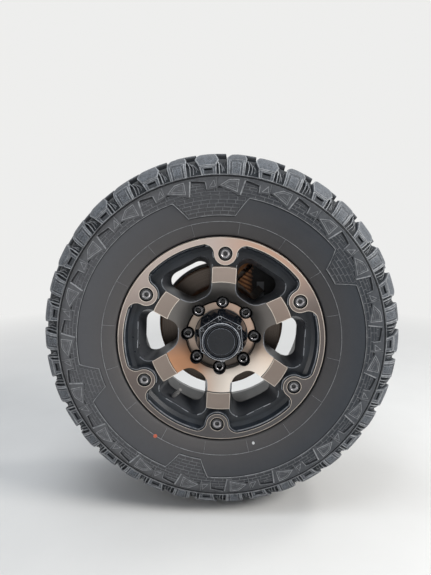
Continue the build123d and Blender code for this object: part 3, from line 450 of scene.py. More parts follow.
def build_tread():
    """Hooked centre blocks in two rows, with a bent block between them."""
    relief = Relief()
    half = 2 * pi * CROWN_RADIUS / TREAD_SETS / 2
    left = [(-half + 6, -46), (half - 18, -50), (half - 6, -34), (half - 4, -12)]
    left += [(8, -5), (2, -18), (-half + 10, -20)]
    right = [(-x, -w) for x, w in left]
    middle = [(-half + 14, -13), (-2, -11), (6, 3), (half - 12, 6)]
    middle += [(half - 16, 14), (0, 12), (-8, -3), (-half + 12, -5)]
    relief.block(left, CREST_FOOT, 0, draft=1.6, edge=1.2, wear=TREAD_WEAR_AND_LIGHT)
    relief.block(right, CREST_FOOT, 0, draft=1.6, edge=1.2, wear=TREAD_WEAR_AND_LIGHT)
    relief.block(middle, CREST_FOOT, -0.4, draft=1.2, edge=1.0, wear=TREAD_WEAR_AND_LIGHT)
    turns = [radians(TREAD_CLOCK + PARK_TURN) + 2 * pi / TREAD_SETS * k for k in range(TREAD_SETS)]
    part = (crown_surface, *relief.cut(12, 12), turns, CROWN_RADIUS, 1)
    return wrapped_piece("tyre_tread_blocks", [part], 38)


# Tyre: wall, with a band of steps and wedges over bricks and plain panels
def wall_forms():
    """One pitch of the stepped band between the bricks and the lugs."""
    relief = Relief()
    step = 2 * pi * WALL_RADIUS / PITCHES
    start = -45.3
    band = [
        (start, 376.3), (start, 352.0), (start + 3.0, 356.0), (5.0, 337.6), (17.0, 371.0),
        (46.0, 365.6), (47.5, 348.0), (start + step, 352.0), (start + step, 376.3),
    ]
    # a painted shadow strip under the band's lower edge, and the band's foot painted dark as shade
    band_shadow = [(x, r - 3.6) for x, r in band]
    relief.stack(band_shadow, (0, 0.12, -0.4), (1.2, 0.14, PAINTED_SHADE))
    relief.stack(band, (0, -1.5, PAINTED_SHADE), (0.3, 1.5, 0.4), (0.8, 1.7, 0.13))
    # the wedge's stepped rims painted light as highlights, its steps' floors dark as painted shade
    wedge = [(-40.0, 357.6), (-20.0, 371.0), (2.2, 372.4), (0.6, 344.0)]
    rows = [(0, 1.2, 0.5), (0.3, 2.1, 1.0), (1.7, 2.1, 0.9), (2.1, 1.0, -0.8), (3.6, 1.0, -0.8)]
    rows += [(3.9, 1.9, 0.6), (5.1, 1.9, 0.6), (5.4, 1.0, -0.6), (6.6, 1.0, 0.0)]
    relief.stack(wedge, *rows)
    # left, right, foot and top of the bricks in the band's notch
    notch = [(10, 27, 352.4, 358.6), (27, 44.5, 352.4, 358.6)]
    notch += [(13, 19, 358.8, 364.4), (19, 36, 358.8, 363.4)]
    for left, right, low, high in notch:
        relief.frame([(left, low), (right, low), (right, high), (left, high)])
    relief.rib([(-16.5, 359.5), (-2.5, 355.0)], 1.3, 0.6, 1.8, 0.6)
    relief.rib([(7.2, 338.6), (11.0, 355.0), (14.6, 371.0)], 4.6, 0.0, 2.3, 1.0)
    relief.rib([(17.5, 372.4), (32.0, 369.8), (47.0, 367.0)], 1.4, 1.2, 2.1, 0.6)
    relief.rib([(49.2, 350.0), (48.4, 358.0), (47.6, 366.5)], 2.0, 1.2, 2.2, 0.9)
    # the tooth's recess painted dark as shade
    tooth = [(53.5, 353.0), (70.0, 355.0), (66.5, 370.5), (57.0, 358.0)]
    rows = [(0, 1.2, 0.5), (0.3, 2.1, 0.9), (1.3, 2.1, 0.9), (1.7, 0.9, PAINTED_SHADE), (2.4, 0.9, -0.7)]
    relief.stack(tooth, *rows)
    relief.rib([(72.2, 344.0), (71.6, 356.0), (70.4, 375.0)], 1.5, -0.5, 2.1, 0.8)
    return relief.cut(9, 9)


# first and last angle of a panel between two brick fields, at its top edge and at its foot
panels = [
    (8.0, 47.0, 3.5, 51.5),
    (63.4, 183.0, 59.2, 187.0),
    (201.0, 242.0, 197.5, 246.0),
    (258.5, 338.5, 255.0, 343.0),
]
PANEL_TOP = 335.0
PANEL_FOOT = 293.0
SHADOW_DROP = 2.3

# width, foot, top and wear of the wall's ribs; the shadow rib is a painted shadow
panel_rib = (2.2, -1.2, 1.5, 1.0)
shadow_rib = (2.0, -1.0, 0.25, PAINTED_SHADE)
divider_rib = (1.6, -0.8, 0.6, 0.85)

DIVIDERS = 16
DIVIDER_CLOCK = 6.0
DIVIDER_FOOT = 252.5
FOOT_RING = 279.0
# radius, then width, foot, top and wear of the ribs that go all round; the one at 377.8 is a dark line
# painted as a groove's shade
wall_rings = [(FOOT_RING, 1.9, -1.0, 0.9, 0.9), (377.8, 4.4, -0.6, 1.8, PAINTED_SHADE), (380.5, 1.9, -3.0, 3.0, 0.75)]


def brick_fields():
    """First and last angle of each brick field at the top, then at the foot."""
    fields = []
    for panel, following in zip(panels, panels[1:] + panels[:1]):
        turn = 360 if following is panels[0] else 0
        fields.append((panel[1], following[0] + turn, panel[3], following[2] + turn))
    return fields


def wall_point(angle, radius):
    """A point of the wall, its arc length measured at the wall's reference radius."""
    return radians(angle) * WALL_RADIUS, radius


def wall_arc(first, last, radius):
    """Points along an arc of the wall, no more than 1.5 degrees apart."""
    count = max(2, int(abs(last - first) / 1.5) + 1)
    return [wall_point(angle, radius) for angle in np.linspace(first, last, count)]


def wall_piece(name, made, turns, side, sharp):
    """A piece of one side's wall."""
    return wrapped_piece(name, [(wall_surface, *made, turns, WALL_RADIUS, side)], sharp)


def build_borders(side, name):
    """Edge lines of the panels and brick fields, the ring at their foot and the mould lines under it, with
    painted shadow lines under the panels' top and foot edges.
    """
    relief = Relief()
    for panel, (start, end, foot_start, foot_end) in zip(panels, brick_fields()):
        relief.rib(wall_arc(panel[0], panel[1], PANEL_TOP), *panel_rib)
        relief.rib(wall_arc(panel[0] + 0.3, panel[1] - 0.3, PANEL_TOP - SHADOW_DROP), *shadow_rib)
        down = np.linspace(wall_point(start, PANEL_TOP), wall_point(foot_start, PANEL_FOOT), 7)
        relief.rib(down, *panel_rib)
        relief.rib(wall_arc(foot_start, foot_end, PANEL_FOOT), *panel_rib)
        relief.rib(wall_arc(foot_start, foot_end, PANEL_FOOT - SHADOW_DROP), *shadow_rib)
        up = np.linspace(wall_point(foot_end, PANEL_FOOT), wall_point(end, PANEL_TOP), 7)
        relief.rib(up, *panel_rib)
    for radius, *rib in wall_rings:
        relief.rib(wall_arc(0, 360, radius), *rib)
    for k in range(DIVIDERS):
        clock = DIVIDER_CLOCK + 360 / DIVIDERS * k
        line = np.linspace(wall_point(clock, DIVIDER_FOOT), wall_point(clock, FOOT_RING), 6)
        relief.rib(line, *divider_rib)
    return wall_piece(name, relief.arrays(), [side * radians(PARK_TURN)], side, 60)


# length in degrees of a brick and of the shortest one, and a course's height in the fields and in the band
BRICK = 3.4
SHORT_BRICK = 0.6
FIELD_ROW = 8.2
BAND_ROW = 7.3
FIELD_FOOT = PANEL_FOOT + 1.4
BAND_FOOT = 337.2
BAND_BRICKS = 106


def brick(relief, start, end, low, high):
    """Adds one brick, its ends in degrees."""
    middle = (start + end) / 2
    foot = [wall_point(angle, low) for angle in (start, middle, end)]
    top = [wall_point(angle, high) for angle in (end, middle, start)]
    relief.frame(foot + top)


def build_bricks(side, name):
    """Brick courses in the fields between the panels and in the band under the ring of forms."""
    relief = Relief()
    for start, end, foot_start, foot_end in brick_fields():
        for row in range(5):
            low = FIELD_FOOT + row * FIELD_ROW
            share = (low - PANEL_FOOT) / (PANEL_TOP - PANEL_FOOT)
            first = foot_start + (start - foot_start) * share + 0.5
            last = foot_end + (end - foot_end) * share - 0.5
            turn = first - (BRICK * 0.45 if row % 2 else 0)
            while turn < last:
                a = max(turn, first)
                b = min(turn + BRICK, last)
                if b - a > SHORT_BRICK:
                    brick(relief, a, b, low, low + FIELD_ROW)
                turn += BRICK
    for row in range(2):
        low = BAND_FOOT + row * BAND_ROW
        for k in range(BAND_BRICKS):
            turn = (k + 0.5 * row) * 360 / BAND_BRICKS
            brick(relief, turn, turn + 360 / BAND_BRICKS, low, low + BAND_ROW)
    return wall_piece(name, relief.arrays(), [side * radians(PARK_TURN)], side, 30)


def build_wall_forms(side, name):
    """The ring of forms of one side."""
    return wall_piece(name, wall_forms(), pitch_turns(3.2, side), side, 38)


tyre_pieces = [
    build_casing(),
    build_shoulder_lugs(1, "tyre_lugs_outer"),
    build_shoulder_lugs(-1, "tyre_lugs_inner"),
    build_tread(),
    build_wall_forms(1, "tyre_forms_outer"),
    build_wall_forms(-1, "tyre_forms_inner"),
    build_borders(1, "tyre_borders_outer"),
    build_borders(-1, "tyre_borders_inner"),
    build_bricks(1, "tyre_bricks_outer"),
    build_bricks(-1, "tyre_bricks_inner"),
]


def feed(socket, value):
    """Gives a socket a number or a colour, or links another socket to it."""
    if isinstance(value, tuple):
        socket.default_value = (*value, 1.0)
    elif isinstance(value, (int, float)):
        socket.default_value = value
    else:
        socket.id_data.links.new(value, socket)


def fill(node, **values):
    """Feeds a node's sockets by name."""
    for key, value in values.items():
        feed(node.inputs[key.replace("_", " ")], value)


class Finish:
    """A material with a few short ways to add nodes."""

    def __init__(self, name):
        self.material = bpy.data.materials.new(name)
        self.material.use_nodes = True
        self.nodes = self.material.node_tree.nodes
        self.shader = self.nodes["Principled BSDF"]
        self.place = self.nodes.new("ShaderNodeTexCoord").outputs["Object"]

    def set(self, **values):
        """Feeds the shader's own sockets."""
        fill(self.shader, **values)

    def noise(self, scale, detail, rough=0.55):
        """Noise between 0 and 1."""
        node = self.nodes.new("ShaderNodeTexNoise")
        fill(node, Scale=scale, Detail=detail, Roughness=rough, Vector=self.place)
        return node.outputs["Fac"]

    def math(self, kind, a, b=None):
        """A math node on sockets or plain values."""
        node = self.nodes.new("ShaderNodeMath")
        node.operation = kind
        feed(node.inputs[0], a)
        if b is not None:
            feed(node.inputs[1], b)
        return node.outputs[0]

    def times(self, a, b):
        """The product of two sockets or plain values."""
        return self.math("MULTIPLY", a, b)

    def between(self, value, low, high):
        """One where a value lies between two others, else 0."""
        return self.times(self.math("GREATER_THAN", value, low), self.math("LESS_THAN", value, high))

    def value(self, name):
        """A value that the mesh holds by point."""
        node = self.nodes.new("ShaderNodeAttribute")
        node.attribute_name = name
        return node.outputs["Fac"]

    def span(self, value, low, high, to_low=0.0, to_high=1.0):
        """Maps a value from one span to another, clamped."""
        node = self.nodes.new("ShaderNodeMapRange")
        for socket, given in zip(node.inputs, (value, low, high, to_low, to_high)):
            feed(socket, given)
        return node.outputs[0]

    def mix(self, share, first, second):
        """A colour between two, each a socket or an RGB value."""
        node = self.nodes.new("ShaderNodeMix")
        node.data_type = "RGBA"
        feed(node.inputs[0], share)
        sockets = [s for s in node.inputs if s.type == "RGBA"]
        feed(sockets[0], first)
        feed(sockets[1], second)
        return [s for s in node.outputs if s.type == "RGBA"][0]

    def tint(self, base, *tints):
        """A colour with others laid over it in turn, each by its share."""
        for share, color in tints:
            base = self.mix(share, base, color)
        return base

    def bump(self, height, strength, distance, before=None):
        """Adds a bump to the shader's normal."""
        node = self.nodes.new("ShaderNodeBump")
        fill(node, Strength=strength, Distance=distance, Height=height)
        if before is not None:
            feed(node.inputs["Normal"], before)
        self.set(Normal=node.outputs["Normal"])
        return node.outputs["Normal"]

    def color(self, source):
        self.set(Base_Color=source)

    def roughness(self, cloud, low, high):
        """Varies the roughness by a noise."""
        self.set(Roughness=self.span(cloud, 0.3, 0.7, low, high))

    def split(self, vector):
        """The three parts of a vector."""
        node = self.nodes.new("ShaderNodeSeparateXYZ")
        feed(node.inputs[0], vector)
        return node.outputs[0], node.outputs[1], node.outputs[2]

    def radius(self):
        """Distance from the wheel's axis in metres, and the place along it."""
        x, y, z = self.split(self.place)
        square = self.math("ADD", self.times(x, x), self.times(z, z))
        return self.math("SQRT", square), y

    def normal(self):
        """The three parts of the object's own normal."""
        node = self.nodes.new("ShaderNodeTexCoord")
        return self.split(node.outputs["Normal"])


# place (x, z) of a paint mark on the outer wall, its radius in mm, and its colour
wall_marks = [
    ((-157.8, -231.0), 4.6, (0.50, 0.13, 0.08)),
    ((78.1, -250.1), 3.2, (0.50, 0.51, 0.52)),
]


def wall_mark(f, place, size):
    """One inside a round mark on the tyre's outer side, else 0."""
    x, along, z = f.split(f.place)
    from_x = f.math("SUBTRACT", x, place[0] / 1000)
    from_z = f.math("SUBTRACT", z, place[1] / 1000)
    square = f.math("ADD", f.times(from_x, from_x), f.times(from_z, from_z))
    inside = f.math("LESS_THAN", square, (size / 1000) ** 2)
    return f.times(inside, f.math("LESS_THAN", along, -0.2))


def make_rubber():
    """Dusty black rubber: painted shade in the grooves, rubbed grey on edges, lines and the lugs' faces that
    is partly painted highlight, and painted light on the wall.
    """
    f = Finish("tyre_rubber_dusty")
    r, y = f.radius()
    x, along, z = f.split(f.place)
    lift = f.value("lift")
    wear = f.value("wear")
    broad = f.noise(6.0, 4.0)
    fine = f.noise(90.0, 6.0, 0.65)
    speck = f.noise(520.0, 3.0)
    face = f.times(f.span(r, 0.379, 0.384), f.span(lift, -6.0, -1.0))
    left_wall_light = f.times(f.span(x, -0.30, 0.30, 0.75, 0.0), f.span(r, 0.376, 0.366))
    rubbed_and_highlight = f.times(f.span(wear, 0.0, 1.0), f.span(fine, 0.36, 0.60, 0.35, 1.0))
    base = f.tint(
        f.mix(f.span(broad, 0.3, 0.7), (0.026, 0.027, 0.031), (0.043, 0.043, 0.046)),
        # the wall: painted light, pale on the left and bluish on the right; specks, brown beside the rim
        (left_wall_light, (0.105, 0.108, 0.118)),
        (f.span(x, -0.10, 0.30, 0.0, 0.55), (0.044, 0.053, 0.066)),
        (f.span(speck, 0.5, 0.75, 0.0, 0.3), (0.066, 0.065, 0.064)),
        (f.span(r, 0.32, 0.26, 0.0, 0.45), (0.088, 0.079, 0.074)),
        # the lugs' faces: dust with dark and light specks
        (f.times(face, f.span(fine, 0.36, 0.62, 0.20, 1.0)), (0.112, 0.124, 0.142)),
        (f.times(face, f.span(speck, 0.50, 0.60, 0.0, 0.5)), (0.030, 0.034, 0.040)),
        (f.times(face, f.span(speck, 0.50, 0.38, 0.0, 0.4)), (0.26, 0.28, 0.31)),
        # rubbed edges, partly painted highlights, and painted shade beside them and in the grooves
        (rubbed_and_highlight, (0.31, 0.32, 0.335)),
        (f.span(wear, -1.0, 0.0, 0.9, 0.0), (0.006, 0.007, 0.009)),
        (f.span(lift, -11.0, -2.5, 0.97, 0.0), (0.004, 0.007, 0.011)),
        *[(wall_mark(f, place, size), color) for place, size, color in wall_marks],
    )
    f.color(base)
    f.roughness(fine, 0.52, 0.72)
    f.set(Specular_IOR_Level=0.22)
    normal = f.bump(fine, 0.30, 0.0012)
    f.bump(speck, 0.15, 0.0005, normal)
    return f.material


rubber = make_rubber()
for piece in tyre_pieces:
    piece.data.materials.append(rubber)
    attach(piece, "wheel")
    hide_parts("tyre")


# Radii of the wheel's zones in metres, from the centre outwards
COLLAR = 0.0843
DISH_INSIDE = 0.0845
# outer edge of the painted shadow ring round the collar
COLLAR_SHADOW_EDGE = 0.0880
DISH = 0.1368
FACETS = 0.1752
RING = 0.1768


def wheel_bronze(f, r, y):
    """One on the machined faces: the outer ring, the dish and the spokes' flat faces."""
    depth = f.math("ADD", f.times(y, 1000.0), BACK_DEPTH)
    normal_x, normal_y, normal_z = f.normal()
    front = f.math("LESS_THAN", normal_y, -0.42)
    ring = f.math("LESS_THAN", depth, 2.2)
    inner = f.times(f.math("LESS_THAN", r, FACETS), f.math("LESS_THAN", depth, 69.0))
    return f.times(front, f.math("MAXIMUM", ring, inner))


def dish_tints(f, r, x, z):
    """Flat faces of the spokes, lighter above as painted light, and the dish: a painted warm reflection on
    the left, a painted bright reflection at the bottom, painted shade above.
    """
    dish = f.between(r, DISH_INSIDE, DISH)
    facet_light = f.mix(f.span(z, 0.05, 0.16), (0.265, 0.222, 0.198), (0.37, 0.31, 0.28))
    warm_reflection = f.times(dish, f.times(f.span(z, 0.03, -0.03), f.span(x, 0.0, -0.07)))
    bright_reflection = f.times(dish, f.times(f.span(z, -0.03, -0.10), f.span(x, -0.06, 0.02)))
    shade = f.times(dish, f.span(z, -0.052, 0.012))
    return [
        (f.times(f.between(r, DISH, FACETS), 0.8), facet_light),
        (f.times(warm_reflection, 0.8), (0.54, 0.26, 0.135)),
        (f.times(bright_reflection, 0.9), (0.92, 0.84, 0.76)),
        (f.times(shade, 0.90), (0.150, 0.148, 0.145)),
    ]


def collar_tints(f, r, x, z):
    """The collar round the cap: a painted shadow below, a painted highlight at the upper right, and a
    painted shadow ring round it.
    """
    collar = f.math("LESS_THAN", r, COLLAR)
    return [
        (f.times(collar, f.span(z, -0.015, -0.060, 0.0, 0.8)), (0.035, 0.033, 0.032)),
        (f.times(collar, f.span(f.math("ADD", z, x), 0.03, 0.09, 0.0, 0.7)), (0.60, 0.43, 0.34)),
        (f.times(f.between(r, COLLAR, COLLAR_SHADOW_EDGE), 0.9), (0.010, 0.010, 0.011)),
    ]


def ring_color(f, patch, x, z):
    """The outer ring with painted light: bright above, peach at the upper right, dark below as painted
    shade.
    """
    up = f.math("SUBTRACT", f.times(z, 0.94), f.times(x, 0.34))
    crown_light = f.math("MINIMUM", f.span(up, 0.0, 0.19), f.span(z, 0.0, 0.20))
    upper_right_light = f.times(f.span(x, -0.02, 0.08), f.span(up, 0.02, 0.14, 0.0, 0.85))
    return f.tint(
        f.mix(f.span(patch, 0.38, 0.62), (0.175, 0.145, 0.133), (0.205, 0.168, 0.152)),
        (crown_light, (0.57, 0.48, 0.44)),
        (upper_right_light, (0.60, 0.375, 0.270)),
        (f.span(up, 0.0, -0.20, 0.0, 0.95), (0.100, 0.096, 0.098)),
    )


def make_wheel_metal():
    """Machined bronze on the outer faces, with painted light and shade by place, satin black in the pockets
    and behind, with painted light on the window walls.
    """
    f = Finish("wheel_bronze_and_black")
    patch = f.noise(7.0, 3.0)
    cloud = f.noise(24.0, 5.0)
    grain = f.noise(900.0, 2.0)
    r, y = f.radius()
    x, along, z = f.split(f.place)
    metal = f.tint(
        f.mix(f.span(patch, 0.38, 0.62), (0.29, 0.238, 0.198), (0.38, 0.285, 0.228)),
        # painted light: warm on the right, pale at the upper left, peach at the upper right, dark at the
        # bottom
        (f.span(x, 0.02, 0.20, 0.0, 0.55), (0.36, 0.215, 0.14)),
        (f.span(f.math("SUBTRACT", z, x), 0.05, 0.28, 0.0, 0.6), (0.52, 0.42, 0.35)),
        (f.span(f.math("ADD", z, x), 0.10, 0.27, 0.0, 0.7), (0.58, 0.38, 0.27)),
        (f.span(z, -0.21, -0.03, 0.85, 0.0), (0.150, 0.134, 0.120)),
        (f.span(cloud, 0.45, 0.75, 0.0, 0.30), (0.46, 0.39, 0.34)),
        *dish_tints(f, r, x, z),
        *collar_tints(f, r, x, z),
        (f.math("GREATER_THAN", r, RING), ring_color(f, patch, x, z)),
    )
    # painted light on the window walls and the barrel behind them
    lit_window_walls = f.times(f.span(y, -0.236, -0.226), f.span(r, 0.212, 0.204))
    paint = f.tint(
        f.mix(f.span(cloud, 0.4, 0.7), (0.010, 0.013, 0.018), (0.017, 0.022, 0.030)),
        (f.times(lit_window_walls, 0.85), (0.060, 0.063, 0.070)),
    )
    bronze = wheel_bronze(f, r, y)
    f.color(f.mix(bronze, paint, metal))
    f.set(Metallic=bronze)
    f.roughness(cloud, 0.27, 0.40)
    f.set(Specular_IOR_Level=0.35)
    f.bump(grain, 0.06, 0.0003)
    return f.material


def make_edge(name, low, high, metallic):
    """A painted highlight along an edge, darker towards the bottom as painted shade."""
    f = Finish(name)
    cloud = f.noise(45.0, 4.0)
    x, along, z = f.split(f.place)
    bright = f.mix(f.span(cloud, 0.3, 0.7), low, high)
    shaded_tone = tuple(c * 0.3 for c in low)
    f.color(f.mix(f.span(z, 0.05, -0.20, 0.0, 0.5 * metallic), bright, shaded_tone))
    f.roughness(cloud, 0.30, 0.42)
    f.set(Metallic=metallic)
    return f.material


# Height in metres of the painted highlight strips over their faces, and how far a face looks down where it
# is shaded
STRIP_LIFT = 0.00006
SHADED = -0.3


def strip_corners(edge, face, width):
    """Corners of a strip that lies on a face beside one of its edges."""
    a, b = edge.verts[0].co, edge.verts[1].co
    across = face.normal.cross(b - a).normalized()
    if across.dot(face.calc_center_median() - (a + b) / 2) < 0:
        across = -across
    up = face.normal * STRIP_LIFT
    reach = across * width / 1000
    corners = [a + up, b + up, b + up + reach, a + up + reach]
    if (b - a).cross(reach).dot(face.normal) < 0:
        corners.reverse()
    return corners


def edge_lines(name, node, rules, angle, facing, lit_from_above):
    """Thin strips of painted highlight on the front faces beside a solid's sharp outer edges, by depth and
    radius in mm.
    """
    form = bmesh.new()
    form.from_mesh(node.data)
    bmesh.ops.remove_doubles(form, verts=form.verts[:], dist=WELD)
    points = []
    for edge in form.edges:
        if len(edge.link_faces) != 2 or not edge.is_convex or edge.calc_face_angle(0) < radians(angle):
            continue
        middle = (edge.verts[0].co + edge.verts[1].co) / 2
        depth = middle.y * 1000 + BACK_DEPTH
        r = 1000 * (middle.x**2 + middle.z**2) ** 0.5
        widths = [rule[4] for rule in rules if rule[0] <= depth <= rule[1] and rule[2] <= r <= rule[3]]
        if not widths:
            continue
        first, second = edge.link_faces
        for face, wall in ((first, second), (second, first)):
            shaded = lit_from_above and wall.normal.z < SHADED
            if face.normal.y <= -facing and not shaded:
                points.extend(strip_corners(edge, face, widths[0]))
    form.free()
    faces = [[start + i for i in range(4)] for start in range(0, len(points), 4)]
    return new_piece(name, points, faces, 60)


def make_black(name, base, rough_low, rough_high, coat=0.0, dusty=0.5):
    """Black coated metal with faint dust."""
    f = Finish(name)
    cloud = f.noise(40.0, 5.0)
    fine = f.noise(300.0, 3.0)
    dust = f.times(f.span(cloud, 0.45, 0.75), f.span(fine, 0.4, 0.7, 0.0, dusty))
    f.color(f.mix(dust, base, (0.10, 0.095, 0.09)))
    f.roughness(cloud, rough_low, rough_high)
    f.set(Metallic=0.0, Coat_Weight=coat, Coat_Roughness=0.05, Specular_IOR_Level=0.3)
    f.bump(fine, 0.05, 0.0003)
    return f.material


def make_iron(name, base, rust, share_low, share_high, metal, rough):
    """Cast or plain iron with rust by patches."""
    f = Finish(name)
    patch = f.noise(22.0, 6.0, 0.65)
    fine = f.noise(180.0, 5.0)
    rust_share = f.span(patch, share_low, share_high)
    dark = f.mix(f.span(fine, 0.3, 0.7), rust, tuple(c * 0.55 for c in rust))
    f.color(f.mix(rust_share, base, dark))
    f.set(Metallic=f.span(rust_share, 0.0, 1.0, metal, 0.0))
    f.roughness(fine, rough - 0.12, rough + 0.15)
    f.bump(fine, 0.35, 0.0012)
    return f.material


def make_caliper():
    """Grey caliper, painted dark as shadow on its outer side, with a rusty end in light and dark stripes
    painted as the light and shade of ribs, and a worn bar.
    """
    f = Finish("caliper_grey")
    patch = f.noise(22.0, 6.0, 0.65)
    fine = f.noise(180.0, 5.0)
    x, along, z = f.split(f.place)
    front = f.math("LESS_THAN", along, -0.04)
    rust = f.mix(f.span(fine, 0.3, 0.7), (0.20, 0.095, 0.045), (0.10, 0.05, 0.03))
    end = f.times(front, f.span(f.math("ADD", x, f.times(fine, 0.02)), 0.092, 0.074))
    # stripes of painted light and shade standing for ribs
    rib = f.math("SINE", f.times(f.math("ADD", z, f.times(x, 0.5)), 570.0))
    painted_rib_light = f.mix(f.span(rib, -0.6, 0.5), (0.22, 0.080, 0.030), (0.82, 0.37, 0.16))
    bar = f.times(f.span(x, 0.091, 0.093), f.span(x, 0.111, 0.109))
    bar = f.times(front, f.times(bar, f.span(z, 0.126, 0.124)))
    base = f.tint(
        f.mix(f.span(patch, 0.50, 0.72), (0.17, 0.167, 0.16), rust),
        (f.times(front, 0.93), (0.004, 0.004, 0.005)),
        (f.times(end, 0.95), painted_rib_light),
        (f.times(bar, 0.9), (0.21, 0.21, 0.215)),
    )
    f.color(base)
    f.roughness(fine, 0.5, 0.75)
    f.set(Specular_IOR_Level=0.2)
    f.bump(fine, 0.35, 0.0012)
    return f.material


def make_disc():
    """Brake disc: bare swept tracks, rust elsewhere."""
    f = Finish("brake_disc_swept")
    r, y = f.radius()
    normal_x, normal_y, normal_z = f.normal()
    flat = f.math("GREATER_THAN", f.math("ABSOLUTE", normal_y), 0.9)
    track = f.times(flat, f.times(f.span(r, 0.112, 0.116), f.span(r, 0.161, 0.1585)))
    rings = f.nodes.new("ShaderNodeTexNoise")
    rings.noise_dimensions = "1D"
    rings.inputs["Scale"].default_value = 900.0
    feed(rings.inputs["W"], r)
    patch = f.noise(30.0, 6.0, 0.65)
    fine = f.noise(220.0, 5.0)
    rust = f.mix(f.span(patch, 0.35, 0.65), (0.20, 0.085, 0.035), (0.10, 0.055, 0.035))
    steel = f.mix(f.span(rings.outputs["Fac"], 0.35, 0.65), (0.080, 0.065, 0.056), (0.15, 0.125, 0.108))
    f.color(f.mix(track, rust, steel))
    f.set(Metallic=track)
    f.set(Roughness=f.span(track, 0.0, 1.0, 0.8, 0.38))
    f.bump(fine, 0.25, 0.001)
    return f.material


def turned(rings, centre, turn):
    """Points, faces and wear of rings about a fitting's axis, round ones or with flat sides."""
    steps = 48
    points = []
    wears = []
    for size, depth, wear, sides in rings:
        for k in range(steps):
            angle = 2 * pi * k / steps
            reach = size
            if sides:
                half = pi / sides
                reach = size / cos((angle + turn) % (2 * half) - half)
            x = centre[0] + reach * sin(angle)
            z = centre[1] + reach * cos(angle)
            points.append((x / 1000, row_y(depth), z / 1000))
            wears.append(wear)
    faces = [[a, d, c, b] for a, b, c, d in ring_faces(len(rings), steps)]
    faces.append([(len(rings) - 1) * steps + k for k in range(steps)][::-1])
    return points, faces, wears


def build_fittings(name, rings, radius, count):
    """Turned fittings spaced evenly on a circle."""
    points = []
    faces = []
    wears = []
    for k in range(count):
        clock = radians(PARK_TURN + 360 / count * k)
        made = turned(rings, (radius * sin(clock), radius * cos(clock)), turn=0.4 * k)
        faces.extend([[len(points) + i for i in f] for f in made[1]])
        points.extend(made[0])
        wears.extend(made[2])
    return new_piece(name, points, faces, 35, wear=wears)


# size, depth, wear, sides
bolt_rings = [
    (6.0, 30.0, 0.0, 0), (6.0, 9.0, 0.0, 0), (13.5, 9.0, 0.0, 0), (13.5, 2.8, 0.0, 0),
    (12.9, 1.6, 0.15, 0), (11.4, 1.0, 0.0, 0), (9.6, 1.0, 0.2, 0), (8.8, 1.7, 0.75, 0),
    (6.6, 2.6, 0.75, 0), (5.0, 2.9, 0.5, 6), (4.6, 3.6, 0.0, 6), (4.6, 7.5, 0.0, 6),
    (0.6, 9.0, 0.2, 0),
]
nut_rings = [
    (7.3, 105.8, 0.0, 0), (12.5, 105.8, 0.0, 0), (12.5, 64.2, 0.0, 0), (12.1, 62.9, 0.1, 0),
    (11.0, 62.1, 0.05, 0), (8.9, 62.0, 0.15, 0), (8.4, 62.2, 0.85, 0), (7.2, 63.2, 0.85, 0),
    (6.9, 66.0, 0.1, 0), (6.6, 82.0, 0.0, 0), (0.6, 83.5, 0.0, 0),
]


def make_plated():
    """Black fittings with bright rubbed edges and sockets."""
    f = Finish("black_fittings_rubbed")
    cloud = f.noise(160.0, 4.0)
    wear = f.times(f.value("wear"), f.span(cloud, 0.25, 0.55, 0.5, 1.0))
    f.color(f.mix(wear, (0.008, 0.009, 0.011), (0.44, 0.43, 0.45)))
    f.set(Metallic=f.span(wear, 0.1, 0.6))
    f.roughness(cloud, 0.18, 0.32)
    return f.material


plated = make_plated()
bolts = build_fittings("rim_bolts_socket", bolt_rings, BOLT_CIRCLE / 2, 6)
nuts = build_fittings("lug_nuts_socket", nut_rings, NUT_CIRCLE / 2, 8)
for piece, node in ((bolts, "rim_bolts"), (nuts, "lug_nuts")):
    piece.data.materials.append(plated)
    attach(piece, "wheel")
    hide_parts(node)

wheel_metal = make_wheel_metal()
cap_black = make_black("cap_gloss_black", (0.007, 0.009, 0.013), 0.07, 0.13, coat=0.25, dusty=0.08)
valve_grey = make_black("valve_grey", (0.20, 0.195, 0.19), 0.35, 0.5)
bare_steel = make_iron("bare_steel", (0.42, 0.41, 0.39), (0.16, 0.09, 0.05), 0.55, 0.8, 0.9, 0.42)
cast_iron = make_iron("cast_iron", (0.16, 0.15, 0.14), (0.19, 0.09, 0.045), 0.42, 0.62, 0.4, 0.66)
rusty_iron = make_iron("rusty_iron", (0.12, 0.09, 0.07), (0.21, 0.095, 0.04), 0.30, 0.55, 0.2, 0.78)
bracket_rust = make_iron("bracket_rust", (0.62, 0.27, 0.10), (0.42, 0.15, 0.05), 0.35, 0.65, 0.0, 0.75)
shield_steel = make_iron("shield_steel", (0.22, 0.22, 0.22), (0.17, 0.09, 0.05), 0.50, 0.72, 0.6, 0.52)
lining = make_iron("pad_lining", (0.07, 0.065, 0.06), (0.13, 0.08, 0.05), 0.45, 0.7, 0.1, 0.8)

